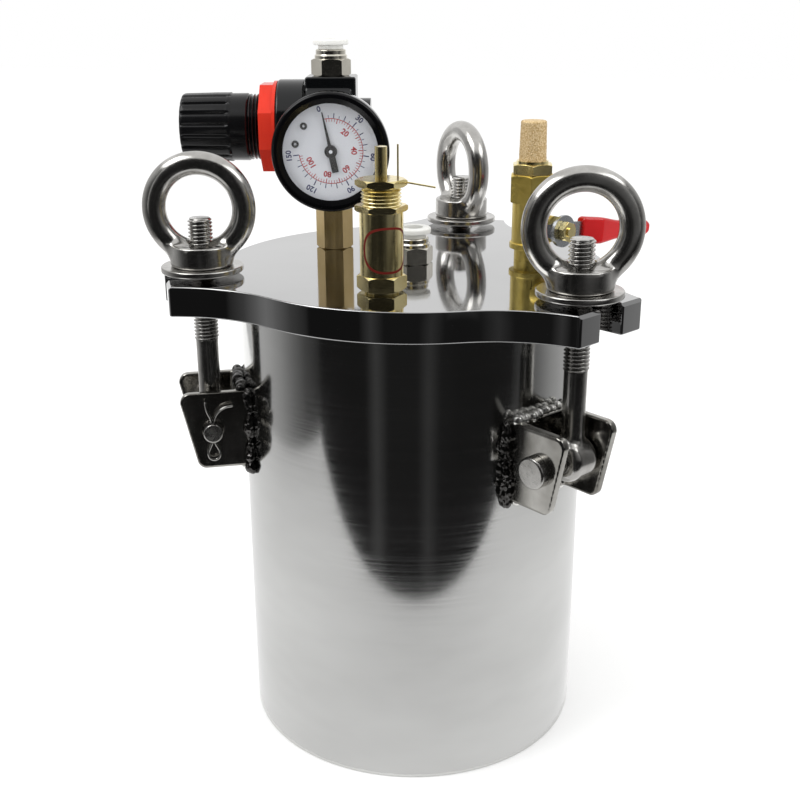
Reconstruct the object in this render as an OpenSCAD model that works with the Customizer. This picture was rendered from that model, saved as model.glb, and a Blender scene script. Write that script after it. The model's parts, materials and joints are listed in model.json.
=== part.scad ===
// Resin pressure pot: a stainless barrel with a thick three-eared lid, three swing bolts
// with eye nuts, and a regulator, relief valve, tube fitting and ball valve on the lid.
// Origin: centre of the barrel's base. +Z up. The back ear points along +Y. Millimetres.

/* [Barrel] */
// Outer diameter of the barrel
barrel_d = 146; // [140:1:150]
// Wall thickness of the barrel
barrel_wall = 3; // [2:0.5:4]
// Height from the ground to the underside of the lid
barrel_h = 192; // [185:1:230]
// Thickness of the bottom plate
bottom_t = 4; // [3:0.5:6]

/* [Lid] */
// Thickness of the lid
lid_t = 12; // [10:1:16]
// Radius of the lid's round middle
lid_r = 80.5; // [79:0.5:82]
// Distance from the centre to the end of an ear
ear_tip_r = 102.5; // [101:0.5:103]
// Half width of an ear at its end
ear_tip_w = 18.5; // [17:0.5:20]
// Half angle over which an ear flows into the round middle
ear_spread = 32.3; // [30:0.1:34]
// Width of the open bolt slot in each ear
slot_w = 13; // [12:0.5:14]
// Radius of the circle that the port holes lie on
port_r = 50; // [47:0.5:51]

/* [Clamp bolts] */
// Radius of the circle through the three clamp bolts
bolt_r = 87.5; // [87:0.1:88]
// Thread diameter of the clamp bolts
thread_d = 10; // [10:1:10]
// Thread pitch of the clamp bolts
thread_pitch = 1.5; // [1.25:0.25:1.5]
// Diameter of the plain shank
shank_d = 9; // [8.5:0.5:9]
// Height of the hinge pins above the ground
pin_z = 141; // [136:1:142]
// Diameter of the hinge pins
pin_d = 8; // [7:0.5:8]
// Height of the bolt's top end above the lid's top
stud_over = 23; // [20:1:26]
// Angle by which the barrel stands turned under the lid
barrel_turn = 2.8; // [0:0.1:3]
// Gap under the washers when the nuts are finger-loose
washer_gap = 1.6; // [1.6:0.1:2]
// Outer diameter of the flat washers
washer_d = 33; // [30:1:34]
// Outer diameter of the eye nut's ring
eye_d = 45; // [43:1:47]
// Thickness of the eye nut's ring
eye_bar = 9.4; // [8:0.2:10]

/* [Regulator] */
// Height of the regulator's axis above the lid's top
reg_over = 52.3; // [50:0.1:55]
// Direction in which the knob points, seen from above
reg_turn = 195.5; // [190:0.5:200]
// Diameter of the knob
knob_d = 29; // [27:0.5:29]
// Diameter of the gauge's bezel
gauge_d = 48; // [46:0.5:50]
// Needle's angle left of upright at zero pressure
needle_zero = 12; // [8:1:16]

/* [Ball valve] */
// Direction in which the valve's stem points, seen from above
stem_turn = -32; // [-34:1:-30]
// Length of the lever from the stem to the tip
lever_l = 51; // [46:1:62]
// How far the closed lever hangs below level
lever_droop = 5; // [3:0.5:6]

/* [Hidden] */
$fn = 96;

eps = 0.01;          // overshoot of a cut past a flat face
fit_gap = 0.05;      // radial gap of a running fit
lid_z = barrel_h;                  // underside of the lid
top_z = barrel_h + lid_t;          // top of the lid
barrel_r = barrel_d / 2;
bore_r = barrel_r - barrel_wall;

// Ears: directions of the left, right and back clamp
LEFT = 210;
RIGHT = 330;
BACK = 90;
EARS = [LEFT, RIGHT, BACK];
// The arc between an ear and the round middle touches the middle at ear_spread
// and ends at the corner of the ear's tip.
spread_dir = [cos(ear_spread), sin(ear_spread)];
tip_corner = [ear_tip_r, ear_tip_w];
arc_reach = (lid_r * lid_r - tip_corner * tip_corner) / (2 * lid_r - 2 * (spread_dir * tip_corner));
arc_r = arc_reach - lid_r;
arc_centre = arc_reach * spread_dir;

// Brackets and hinge pins
cheek_gap = 24;      // between a bracket's cheeks
cheek_t = 3.5;
cheek_top = pin_z + 16;
cheek_low = pin_z - 17;
cheek_reach_top = bolt_r + 12.5;
cheek_reach_low = bolt_r + 7;
web_face = barrel_r + 4;
cheek_face = cheek_gap / 2 + cheek_t;
pin_head_d = 12.7;
pin_head_t = 4;
pin_tail = 5;        // how far the pin stands out of the far cheek
knuckle_d = 17;
knuckle_w = 14;
cotter_wire = 1.8;
bead_r = 2.8;        // weld bead

// Clamp stack, from the lid upwards
washer_t = 2.5;
washer_z = top_z + washer_gap;
nut_z = washer_z + washer_t;
nut_base_d = 25;
nut_base_h = 8.6;
stud_top = top_z + stud_over;
thread_from = lid_z - 15.5;
eye_r = (eye_d - eye_bar) / 2;
FACE_ON = 15.5;      // direction along the left and right eye rings
EDGE_ON = -50.5;     // direction along the back eye ring

// Gasket groove under the lid
spigot_r = bore_r - 0.5;
spigot_h = 3;
gasket_w = 4.6;
gasket_t = 3;

// Ports in the lid: [distance from the centre, direction, hole radius]
small_thread_r = 4.85;
large_thread_r = 6.55;
riser_at = [46.96, 153.43, small_thread_r];
outlet_at = [0, 0, small_thread_r];
relief_at = [port_r - 0.3, -88.3, large_thread_r];
valve_at = [port_r, 24.2, large_thread_r];
PORTS = [riser_at, outlet_at, relief_at, valve_at];
port_depth = 10;
air_r = 2.5;         // bore of the air passages

// Push-in tube fitting, heights above its hexagon's foot
tube_r = 4;
hex_h = 7;
sleeve_r = 5.3;
collet_r = 7.4;
collet_low = 12.5;
collet_top = 15;
neck_top = 10.8;

// Regulator, in its own frame: x towards the knob, y towards the gauge
port_face = 21.3;    // half height of the body between its two port faces
block_w = 20;
body_end = -10.8;
body_face = 10.5;
port_thread = 8.8;   // depth of the threaded ports
housing_r = 19.8;
chamber_r = 9;
diaphragm_t = 0.8;
bonnet_from = body_face + diaphragm_t;
flange_end = 22.7;
nut_end = 29.7;      // outer face of the red panel nut
neck_end = 34.7;
neck_r = 13.8;
ridge_pitch = 1.5;
knob_from = 35;
knob_to = 63.8;
knob_collar = 7.7;   // plain band next to the bonnet
knob_bore = 12.4;
stop_end = 48.4;     // outer end of the bonnet's boss, inside the knob
spring_room = 42.4;  // outer end of the bonnet's spring bore
screw_r = 3;
seat_from = 34.4;
seat_t = 3;
spring_from = bonnet_from;
hexagon_flat = 14;

// Gauge, in the regulator's frame
gauge_x = -1.3;
gauge_drop = -6.5;
case_back = 20.5;
case_front = 33.5;
bezel_front = 36;
dial_y = 29.4;
dial_t = 0.6;
case_r = gauge_d / 2 - 0.7;
dial_r = 22;

// Relief valve, heights above the lid's top
relief_hex = [0.8, 6.4];
relief_tube_top = 30.4;
relief_seat = 7.5;
lock_nut = [30.4, 32.8];
cap_hex = [39.5, 42.3];
relief_tip = 54;
relief_r = 8.25;
cap_thread_r = 7.6;
relief_roof = 37;
wire_r = 0.35;

// Ball valve, heights above the lid's top
ball_h = 14.2;
ball_r = 5.5;
valve_r = 7.8;
valve_body_top = 24;
seat_ring_r = 6.4;   // soft seats around the ball
seat_floor = 5.6;
seat_clamp = 2.8;    // how deep the upper end reaches in to hold them
valve_end_top = 35.6;
muffler_hex_top = 40;
muffler_top = 57.5;
element_r = 5.7;     // sintered element
stem_r = 2.5;
tip_r = 2;           // threaded tip of the stem
plate_in = 17.2;     // lever plate, distances from the valve's axis
plate_out = 18.8;
lever_w = 7.4;
sleeve_skin = 1.5;   // vinyl on each edge of the lever
lever_step = 4;      // how far the grip stands further out than the plate
bend_a = 12;         // start and end of the lever's step
bend_b = 19;
sleeve_from = 11;

// ---------- shared shapes ----------

module at_port(port) {
    rotate([0, 0, port[1]]) translate([port[0], 0, top_z]) rotate([0, 0, -port[1]]) children();
}

module at_ear(turn) {
    rotate([0, 0, turn]) children();
}

module at_bracket(turn) {
    rotate([0, 0, turn - barrel_turn]) children();
}

module tube(outer, inner, from, to) {
    translate([0, 0, from]) difference() {
        cylinder(r = outer, h = to - from);
        translate([0, 0, -eps]) cylinder(r = inner, h = to - from + 2 * eps);
    }
}

module rod(r, from, to) {
    translate([0, 0, from]) cylinder(r = r, h = to - from);
}

module rod_octagon(r, from, to) {
    translate([0, 0, from]) cylinder(r = r, h = to - from, $fn = 8);
}

// Hexagon bar with its corners turned down at both ends
module hexagon(flats, from, to, chamfer = 0.6) {
    corner = flats / sqrt(3);
    intersection() {
        translate([0, 0, from]) cylinder(r = corner, h = to - from, $fn = 6);
        rotate_extrude() polygon([
            [0, from], [corner - chamfer * 1.6, from], [corner + eps, from + chamfer],
            [corner + eps, to - chamfer], [corner - chamfer * 1.6, to], [0, to]
        ]);
    }
}

// Screw thread as a stack of V rings
module thread(r, pitch, from, to) {
    turns = floor((to - from) / pitch);
    root = r - pitch * 0.61;
    rotate_extrude() polygon(concat(
        [[0, from]],
        [for (i = [0 : turns - 1], k = [0, 1]) [k == 0 ? root : r, from + pitch * (i + k / 2)]],
        [[root, from + pitch * turns], [root, to], [0, to]]
    ));
}

// Corner rounding for plates: centre of the arc and its two tangent points
function unit(v) = v / norm(v);
function half_angle(a, p, b) = acos(unit(a - p) * unit(b - p)) / 2;
function arc_mid(a, p, b, r) = p + unit(unit(a - p) + unit(b - p)) * r / sin(half_angle(a, p, b));
function arc_ends(a, p, b, r) = [
    p + unit(a - p) * r / tan(half_angle(a, p, b)),
    p + unit(b - p) * r / tan(half_angle(a, p, b))
];

// Convex plate with rounded corners; a radius of 0 leaves a corner sharp
module rounded_plate(points, radii) {
    n = len(points);
    before = function(i) points[(i + n - 1) % n];
    after = function(i) points[(i + 1) % n];
    union() {
        polygon([for (i = [0 : n - 1])
            each (radii[i] > 0 ? arc_ends(before(i), points[i], after(i), radii[i]) : [points[i]])]);
        for (i = [0 : n - 1]) if (radii[i] > 0)
            translate(arc_mid(before(i), points[i], after(i), radii[i])) circle(r = radii[i]);
    }
}

// Coil spring: a round wire swept along a helix
module coil(mid_r, wire, from, to, turns) {
    sides = 6;
    steps = 16;
    rings = turns * steps;
    rise = (to - from - wire) / rings;
    points = [for (i = [0 : rings], k = [0 : sides - 1])
        let (a = 360 * i / steps, b = 360 * k / sides, r = mid_r + wire / 2 * cos(b))
        [r * cos(a), r * sin(a), from + wire / 2 + rise * i + wire / 2 * sin(b)]];
    sides_faces = [for (i = [0 : rings - 1], k = [0 : sides - 1])
        let (m = (k + 1) % sides)
        [i * sides + k, i * sides + m, (i + 1) * sides + m, (i + 1) * sides + k]];
    ends = [
        [for (k = [sides - 1 : -1 : 0]) k],
        [for (k = [0 : sides - 1]) rings * sides + k]
    ];
    polyhedron(points, concat(sides_faces, ends), convexity = 10);
}

// ---------- barrel ----------

module barrel_shell() {
    color("silver") tube(barrel_r, bore_r, 0, barrel_h - fit_gap);
}

module bottom_plate() {
    color("silver") rod(bore_r, 0, bottom_t);
}

// ---------- brackets, pins and welds ----------

// Cheek outline: x outwards, y up
module cheek_outline() {
    rounded_plate(
        [[barrel_r - 6, cheek_low], [cheek_reach_low, cheek_low],
         [cheek_reach_top, cheek_top], [barrel_r - 6, cheek_top]],
        [0, 5, 3.5, 0]
    );
}

module bracket() {
    difference() {
        union() {
            for (side = [-1, 1])
                translate([0, side * (cheek_gap / 2 + cheek_t / 2) + cheek_t / 2, 0])
                    rotate([90, 0, 0]) linear_extrude(cheek_t) cheek_outline();
            translate([barrel_r - 6, -cheek_face, cheek_low])
                cube([web_face - barrel_r + 6, 2 * cheek_face, cheek_top - cheek_low]);
        }
        translate([0, 0, cheek_low - 1]) cylinder(r = barrel_r, h = cheek_top - cheek_low + 2);
        translate([bolt_r, cheek_face + 1, pin_z]) rotate([90, 0, 0])
            cylinder(d = pin_d, h = 2 * cheek_face + 2);
    }
}

module bracket_left() {
    color("gainsboro") at_bracket(LEFT) bracket();
}

module bracket_right() {
    color("gainsboro") at_bracket(RIGHT) bracket();
}

module bracket_back() {
    color("gainsboro") at_bracket(BACK) bracket();
}

// Weld beads along the web's top, foot and both sides, ground to the barrel and bracket
module weld_ring() {
    difference() {
        union() {
            for (z = [cheek_low, cheek_top])
                translate([barrel_r + 0.6, cheek_face, z]) rotate([90, 0, 0])
                    cylinder(r = bead_r, h = 2 * cheek_face);
            for (side = [-1, 1])
                translate([barrel_r - 0.4, side * cheek_face, cheek_low])
                    cylinder(r = bead_r, h = cheek_top - cheek_low);
        }
        translate([0, 0, cheek_low - 5]) cylinder(r = barrel_r, h = cheek_top - cheek_low + 10);
        translate([barrel_r - 6, -cheek_face, cheek_low])
            cube([40, 2 * cheek_face, cheek_top - cheek_low]);
    }
}

module bracket_welds() {
    color("darkgray") for (turn = EARS) at_bracket(turn) weld_ring();
}

module hinge_pins() {
    color("silver") for (turn = EARS) at_bracket(turn)
        translate([bolt_r, 0, pin_z]) rotate([-90, 0, 0]) difference() {
            union() {
                rod(pin_d / 2, -cheek_face, cheek_face + pin_tail);
                rod(pin_head_d / 2, -cheek_face - pin_head_t, -cheek_face);
            }
            translate([0, -pin_d, cheek_face + pin_tail / 2]) rotate([-90, 0, 0])
                cylinder(d = cotter_wire, h = 2 * pin_d);
        }
}

// Split pin: straight through the hinge pin, an eye below and two spread legs above
module cotter_pins() {
    color("lightgray") for (turn = EARS) at_bracket(turn)
        translate([bolt_r, cheek_face + pin_tail / 2, pin_z]) {
            rod(cotter_wire / 2, -pin_d / 2 - 1, pin_d / 2 + 0.8);
            translate([0, 0, -pin_d / 2 - 3.2]) rotate([90, 0, 0])
                rotate_extrude() translate([2.4, 0]) circle(d = cotter_wire / 2, $fn = 24);
            for (lean = [-8, 42])
                translate([0, 0, pin_d / 2 + 0.4]) rotate([0, lean, 0])
                    cylinder(d = cotter_wire / 2, h = 7);
        }
}

// ---------- clamp bolts, washers and eye nuts ----------

// Built in its bracket's frame: the knuckle on the hinge pin, the shank in line with the ear's slot
module swing_bolt() {
    side = bolt_r * sin(barrel_turn);
    difference() {
        union() {
            translate([bolt_r, side + knuckle_w / 2, pin_z]) rotate([90, 0, 0])
                cylinder(d = knuckle_d, h = knuckle_w);
            translate([bolt_r * cos(barrel_turn), side, 0]) {
                rod(shank_d / 2, pin_z, thread_from);
                thread(thread_d / 2, thread_pitch, thread_from, stud_top);
            }
        }
        translate([bolt_r, side + knuckle_w / 2 + 1, pin_z]) rotate([90, 0, 0])
            cylinder(r = pin_d / 2 + fit_gap, h = knuckle_w + 2);
    }
}

module swing_bolt_left() {
    color("silver") at_bracket(LEFT) swing_bolt();
}

module swing_bolt_right() {
    color("silver") at_bracket(RIGHT) swing_bolt();
}

module swing_bolt_back() {
    color("silver") at_bracket(BACK) swing_bolt();
}

module washer() {
    translate([bolt_r, 0, 0])
        tube(washer_d / 2, thread_d / 2 + 0.3, washer_z, washer_z + washer_t);
}

module washer_left() {
    color("silver") at_ear(LEFT) washer();
}

module washer_right() {
    color("silver") at_ear(RIGHT) washer();
}

module washer_back() {
    color("silver") at_ear(BACK) washer();
}

// Eye nut: round base and a ring that stands in the plane of the given direction
module eye_nut(turn, ring_dir) {
    at_ear(turn) translate([bolt_r, 0, nut_z]) rotate([0, 0, ring_dir - turn]) difference() {
        union() {
            rotate_extrude() polygon([
                [0, 0], [nut_base_d / 2 - 0.6, 0], [nut_base_d / 2, 0.8],
                [nut_base_d / 2, nut_base_h - 0.8], [nut_base_d / 2 - 1.6, nut_base_h],
                [0, nut_base_h]
            ]);
            translate([0, 0, eye_d / 2]) rotate([90, 0, 0])
                rotate_extrude() translate([eye_r, 0]) circle(d = eye_bar);
        }
        translate([0, 0, -eps]) cylinder(r = thread_d / 2 + fit_gap, h = eye_d / 2);
        translate([0, 0, -eye_d]) cube([2 * eye_d, 2 * eye_d, 2 * eye_d], center = true);
    }
}

module eye_nut_left() {
    color("silver") eye_nut(LEFT, FACE_ON);
}

module eye_nut_right() {
    color("silver") eye_nut(RIGHT, FACE_ON);
}

module eye_nut_back() {
    color("silver") eye_nut(BACK, EDGE_ON);
}

// ---------- lid ----------

module ear_outline() {
    reach = ear_tip_r * tan(ear_spread);
    difference() {
        polygon([[0, 0], [ear_tip_r, -reach], [ear_tip_r, reach]]);
        for (side = [-1, 1])
            translate([arc_centre[0], side * arc_centre[1]]) circle(r = arc_r);
    }
}

module slot_outline() {
    translate([bolt_r, 0]) circle(d = slot_w);
    translate([bolt_r, -slot_w / 2]) square([ear_tip_r - bolt_r + 1, slot_w]);
}

module lid_plate() {
    edge_cut = 1.2;
    color("silver") difference() {
        union() {
            translate([0, 0, lid_z]) linear_extrude(lid_t) difference() {
                union() {
                    circle(r = lid_r);
                    for (turn = EARS) rotate(turn) ear_outline();
                }
                for (turn = EARS) rotate(turn) slot_outline();
            }
            rod(spigot_r, lid_z - spigot_h, lid_z + eps);
        }
        difference() {
            rod(spigot_r + gasket_w, lid_z - eps, lid_z + gasket_t);
            rod(spigot_r, lid_z - spigot_h, lid_z + gasket_t + eps);
        }
        for (port = PORTS) at_port(port)
            translate([0, 0, -lid_t - spigot_h - 1]) cylinder(r = port[2], h = lid_t + spigot_h + 2);
        for (turn = EARS) at_ear(turn) translate([ear_tip_r, 0, top_z]) rotate([0, 45, 0])
            cube([edge_cut * sqrt(2), 3 * ear_tip_w, edge_cut * sqrt(2)], center = true);
    }
}

module lid_gasket() {
    color("ivory") tube(spigot_r + gasket_w - 0.1, spigot_r + 0.1, lid_z, lid_z + gasket_t);
}

module riser_pipe() {
    color("goldenrod") at_port(riser_at) difference() {
        union() {
            rotate([0, 0, FACE_ON]) hexagon(hexagon_flat, 0, reg_over - port_face, 0.8);
            rod(small_thread_r, -port_depth, eps);
            rod(small_thread_r, reg_over - port_face - eps, reg_over - port_face + 8.5);
        }
        rod(air_r, -port_depth - 1, reg_over);
    }
}

// ---------- push-in tube fitting ----------

module fitting(turn) {
    thread_l = 8.5;
    neck = 6.4;
    shoulder = 6.9;
    difference() {
        union() {
            rotate([0, 0, turn]) hexagon(hexagon_flat + 0.6, 0, hex_h, 0.7);
            rod(small_thread_r, -thread_l, eps);
            rotate_extrude() polygon([
                [0, hex_h - eps], [shoulder, hex_h - eps], [shoulder, hex_h + 1.2],
                [neck, hex_h + 1.8], [neck, neck_top - 0.5], [neck - 0.4, neck_top], [0, neck_top]
            ]);
        }
        rod(air_r, -thread_l - 1, 2);
        rod(tube_r + fit_gap, 1.5, 5);
        rod(sleeve_r + 0.1, 4.6, neck_top + eps);
    }
}

module collet() {
    difference() {
        union() {
            rod(sleeve_r, 6, collet_low + eps);
            rotate_extrude() polygon([
                [0, collet_low], [collet_r - 0.3, collet_low], [collet_r, collet_low + 0.4],
                [collet_r, collet_top - 0.5], [collet_r - 0.6, collet_top], [0, collet_top]
            ]);
        }
        rod(tube_r + fit_gap, 5, collet_top + 1);
    }
}

module outlet_fitting() {
    color("gainsboro") at_port(outlet_at) fitting(FACE_ON + 12);
}

module outlet_collet() {
    color("whitesmoke") at_port(outlet_at) collet();
}

module inlet_fitting() {
    color("gainsboro") at_regulator() translate([0, 0, port_face]) fitting(6);
}

module inlet_collet() {
    color("whitesmoke") at_regulator() translate([0, 0, port_face]) collet();
}

// ---------- regulator ----------

module at_regulator() {
    at_port(riser_at) translate([0, 0, reg_over]) rotate([0, 0, reg_turn]) children();
}

// Puts a shape built along z onto the regulator's knob axis
module on_knob_axis() {
    at_regulator() rotate([0, 90, 0]) children();
}

module at_gauge() {
    at_regulator() translate([gauge_x, 0, gauge_drop]) rotate([-90, 0, 0]) children();
}

module regulator_body() {
    passage_r = 3;
    color("#202224") difference() {
        union() {
            at_regulator() translate([body_end, -block_w / 2, -port_face])
                cube([body_face - body_end, block_w, 2 * port_face]);
            on_knob_axis() rod(housing_r - 0.8, body_end + 2, body_face);
        }
        on_knob_axis() {
            rod(chamber_r, body_end - 1, 1);
            rod(passage_r, 0, body_face);
            rod(neck_r, body_face - 2, body_face + 1);
        }
        at_regulator() {
            rod(small_thread_r, port_face - port_thread, port_face + 1);
            rod(passage_r, chamber_r - 2, port_face);
            rod(small_thread_r, -port_face - 1, -port_face + port_thread);
            translate([0, 0, -port_face + port_thread - 0.8]) rotate([0, 90, 0])
                cylinder(r = 1.8, h = body_face - 1);
        }
        at_gauge() {
            rod(8.6, 17.6, 30);
            rod(small_thread_r, chamber_r + 0.6, 20);
            rod(1.2, 6, 12);
        }
    }
}

module valve_plug() {
    color("#2a2c2e") on_knob_axis() {
        rod(chamber_r, body_end - eps, body_end + 4);
        difference() {
            rod(12, body_end - 5.9, body_end);
            translate([0, 0, body_end - 6]) cylinder(r = 5, h = 2.6, $fn = 6);
        }
    }
}

module valve_poppet() {
    color("goldenrod") on_knob_axis() {
        rod(5.5, -4.5, 0.9);
        rod(1.4, 0.8, body_face - eps);
        rod(2.4, body_end + 4, -4.4);
    }
}

module diaphragm() {
    color("dimgray") on_knob_axis() rod(housing_r - 2.5, body_face, bonnet_from);
}

module regulator_bonnet() {
    color("#1c1e20") on_knob_axis() difference() {
        union() {
            rod(housing_r, bonnet_from, flange_end);
            rod(neck_r - 1, flange_end - eps, neck_end);
            thread(neck_r, ridge_pitch, nut_end + 0.2, neck_end);
            rod(neck_r, flange_end, nut_end + 0.3);
            rod(knob_bore - 0.9, neck_end - eps, stop_end);
        }
        rod(15, bonnet_from - 1, flange_end - 3);
        rod(9, bonnet_from, spring_room);
        rod(screw_r + fit_gap, spring_room - 6, stop_end + 1);
    }
}

module panel_nut() {
    across = 36;
    half_side = 22.5;    // half the angle of one of its eight sides
    color("#d8321f") on_knob_axis() difference() {
        union() {
            rotate([0, 0, half_side])
                rod_octagon(across / 2 / cos(half_side), flange_end + 1.4, nut_end);
            rod(19.2, flange_end + 0.1, flange_end + 1.5);
        }
        rod(neck_r, flange_end - 1, neck_end);
    }
}

// Knob: a cup with finger flutes and a plain collar next to the bonnet
module regulator_knob() {
    flutes = 18;
    flute_from = knob_from + knob_collar;
    color("#18191b") on_knob_axis() difference() {
        rotate_extrude() polygon([
            [0, knob_to], [knob_d / 2 - 1.8, knob_to], [knob_d / 2 - 0.5, knob_to - 1.2],
            [knob_d / 2, flute_from], [knob_d / 2 - 0.3, knob_from + 0.6],
            [knob_d / 2 - 0.9, knob_from], [0, knob_from]
        ]);
        rod(knob_bore, knob_from - 1, stop_end + 3.5);
        rod(screw_r + 0.6, stop_end, knob_to - 2.4);
        for (i = [0 : flutes - 1]) rotate([0, 0, 360 * i / flutes])
            translate([knob_d / 2 + 0.25, 0, flute_from]) cylinder(r = 0.85, h = 40, $fn = 24);
    }
}

module adjusting_screw() {
    collar_from = spring_room - 1.5;
    collar_to = spring_room - 0.3;
    color("silver") on_knob_axis() {
        rod(screw_r, seat_from - 6.5, collar_from + eps);
        rod(1.5 * screw_r, collar_from, collar_to);
        rod(screw_r, collar_to - eps, stop_end + 0.5);
        rod(screw_r + 0.55, stop_end + 0.4, stop_end + 8);
    }
}

module spring_seat() {
    color("silver") on_knob_axis() tube(8.4, screw_r + fit_gap, seat_from, seat_from + seat_t);
}

module regulator_spring() {
    color("gray") on_knob_axis() coil(6.6, 2, spring_from, seat_from, 6);
}

// ---------- gauge, built along the line of sight onto its dial ----------

module gauge_stem() {
    color("goldenrod") at_gauge() {
        rod(small_thread_r, chamber_r + 0.8, 17.7);
        rotate([0, 0, 30]) hexagon(12, 17.6, case_back, 0.3);
        rod(5, case_back - eps, 24);
    }
}

module gauge_case() {
    wall = 0.8;
    color("silver") at_gauge() difference() {
        rod(case_r, case_back, case_front);
        rod(case_r - wall, case_back + wall, case_front + 1);
        rod(5, case_back - 1, case_back + 2);
    }
}

module gauge_bezel() {
    color("#111214") at_gauge() rotate_extrude() polygon([
        [case_r, 29.8], [gauge_d / 2, 29.8], [gauge_d / 2, bezel_front - 1.2],
        [gauge_d / 2 - 1.2, bezel_front], [gauge_d / 2 - 2.6, bezel_front],
        [19.4, bezel_front - 0.8], [19.4, case_front + 1.1], [case_r, case_front + 1.1]
    ]);
}

module gauge_lens() {
    color([0.9, 0.95, 1, 0.35]) at_gauge() rod(dial_r, case_front - 0.4, case_front + 1.1);
}

module gauge_dial() {
    color("white") at_gauge() {
        difference() {
            rod(dial_r, dial_y, dial_y + dial_t);
            rod(1.4, dial_y - 1, dial_y + 2);
        }
        for (spot = [[10.9, 10.1], [14.5, 2.9]])
            translate([spot[0], -spot[1], 0]) rod(0.9, dial_y + dial_t - eps, dial_y + dial_t + 0.5);
    }
}

module gauge_needle() {
    tip = 15.8;
    tail = 8.4;
    color("black") at_gauge() rotate([0, 0, needle_zero]) union() {
        rod(2.2, 30.6, 32.2);
        rod(0.8, 26.2, 31);
        translate([0, 0, 31]) linear_extrude(0.5) polygon([
            [-0.25, -tip], [0.25, -tip], [0.9, 0], [1.5, tail], [-1.5, tail], [-0.9, 0]
        ]);
    }
}

module bourdon_tube() {
    color("goldenrod") at_gauge() {
        translate([0, 0, 26]) rotate([0, 0, 135])
            rotate_extrude(angle = 270) translate([14, 0]) circle(r = 1.5, $fn = 32);
        rotate([0, 0, 135]) translate([14, 0, 26]) rotate([0, -90, 0]) rod(1, 0, 11.5);
        rotate([0, 0, 135]) rod(3.4, 24, 25.8);
    }
}

// ---------- relief valve ----------

module relief_body() {
    color("#c9a94f") at_port(relief_at) difference() {
        union() {
            rod(large_thread_r, -port_depth, relief_hex[0] + eps);
            rotate([0, 0, FACE_ON]) hexagon(16.6, relief_hex[0], relief_hex[1], 0.7);
            rod(relief_r, relief_hex[1] - eps, relief_tube_top);
        }
        rod(3, -port_depth - 1, relief_tube_top);
        rod(6, relief_seat, relief_tube_top);
        rod(cap_thread_r, 22, relief_tube_top + 1);
    }
}

module relief_lock_nut() {
    color("#c9a94f") at_port(relief_at) difference() {
        rotate([0, 0, FACE_ON + 4]) hexagon(17.4, lock_nut[0], lock_nut[1], 0.5);
        rod(cap_thread_r, lock_nut[0] - 1, lock_nut[1] + 1);
    }
}

module wire_path(r) {
    hole = [6.2, 2.2, cap_hex[0] + 1.6];
    upright = 13.4;
    lying = 14.4;
    rotate([0, 0, FACE_ON]) translate(hole) {
        rod(r, -0.2, upright);
        sphere(r = 1.3 * r);
        rotate([0, 98, -12]) cylinder(r = r, h = lying);
    }
}

module relief_cap() {
    color("#cdb052") at_port(relief_at) difference() {
        union() {
            thread(cap_thread_r, 1.35, lock_nut[0] - 5, cap_hex[0] + eps);
            rod(cap_thread_r - 0.85, 22.6, lock_nut[0] - 4.9);
            rotate([0, 0, FACE_ON]) hexagon(17, cap_hex[0], cap_hex[1], 0.7);
        }
        rod(5.6, 22, relief_roof);
        rod(2.45, 30, cap_hex[1] + 1);
        wire_path(wire_r);
    }
}

module relief_stem() {
    color("#d9b95c") at_port(relief_at) {
        rod(5, relief_seat, relief_seat + 3.4);
        rod(2.3, relief_seat + 3.3, relief_tip);
    }
}

module relief_spring() {
    color("gray") at_port(relief_at) coil(4.1, 1.3, relief_seat + 3.5, relief_roof, 9);
}

module seal_wire() {
    color("#b8964a") at_port(relief_at) wire_path(wire_r);
}

// ---------- ball valve and muffler ----------

// Stem frame: z along the stem, away from the valve; x up
module at_stem() {
    at_port(valve_at) translate([0, 0, ball_h]) rotate([0, 0, stem_turn]) rotate([0, 90, 0])
        rotate([0, 0, 180]) children();
}

module valve_body() {
    color("#c3ab49") difference() {
        union() {
            at_port(valve_at) {
                rod(large_thread_r, -port_depth, 4.8);
                rod(8.6, 4.7, 7.1);
                rod(valve_r, 7, valve_body_top);
            }
            at_stem() rod(5.4, 0, 12.4);
        }
        at_port(valve_at) {
            rod(air_r, -port_depth - 1, 6);
            rod(seat_ring_r, seat_floor, valve_body_top + 1);
        }
        at_stem() rod(stem_r + fit_gap, 4, 13);
        at_stem() rod(4.2, 10, 13);
    }
}

module valve_end() {
    color("#c3ab49") at_port(valve_at) difference() {
        union() {
            rotate([0, 0, FACE_ON - 37]) hexagon(17, valve_body_top, valve_end_top, 0.7);
            rod(seat_ring_r, valve_body_top - seat_clamp, valve_body_top + eps);
        }
        rod(air_r, 20, 30);
        rod(large_thread_r, valve_end_top - 8, valve_end_top + 1);
    }
}

// Soft rings above and below the ball
module ball_seats() {
    color("white") at_port(valve_at) difference() {
        union() {
            rod(seat_ring_r, seat_floor, ball_h - 2.6);
            rod(seat_ring_r, ball_h + 2.6, valve_body_top - seat_clamp);
        }
        translate([0, 0, ball_h]) sphere(r = ball_r + 0.1);
        rod(air_r, 5, 25);
    }
}

module valve_ball() {
    color("silver") at_stem() difference() {
        sphere(r = ball_r);
        rotate([90, 0, 0]) translate([0, 0, -10]) cylinder(r = air_r, h = 20);
        translate([0, 0, 4]) cylinder(r = stem_r, h = 4);
    }
}

module valve_stem() {
    color("#c3ab49") at_stem() {
        rod(stem_r, 4, plate_in);
        rod(tip_r, plate_in - eps, plate_out + 3.6);
    }
}

module packing_nut() {
    color("gainsboro") at_stem() {
        difference() {
            union() {
                hexagon(9.6, 12.5, 15.6, 0.5);
                rod(4.2, 10, 12.6);
            }
            rod(stem_r + fit_gap, 9, 17);
        }
    }
}

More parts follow.
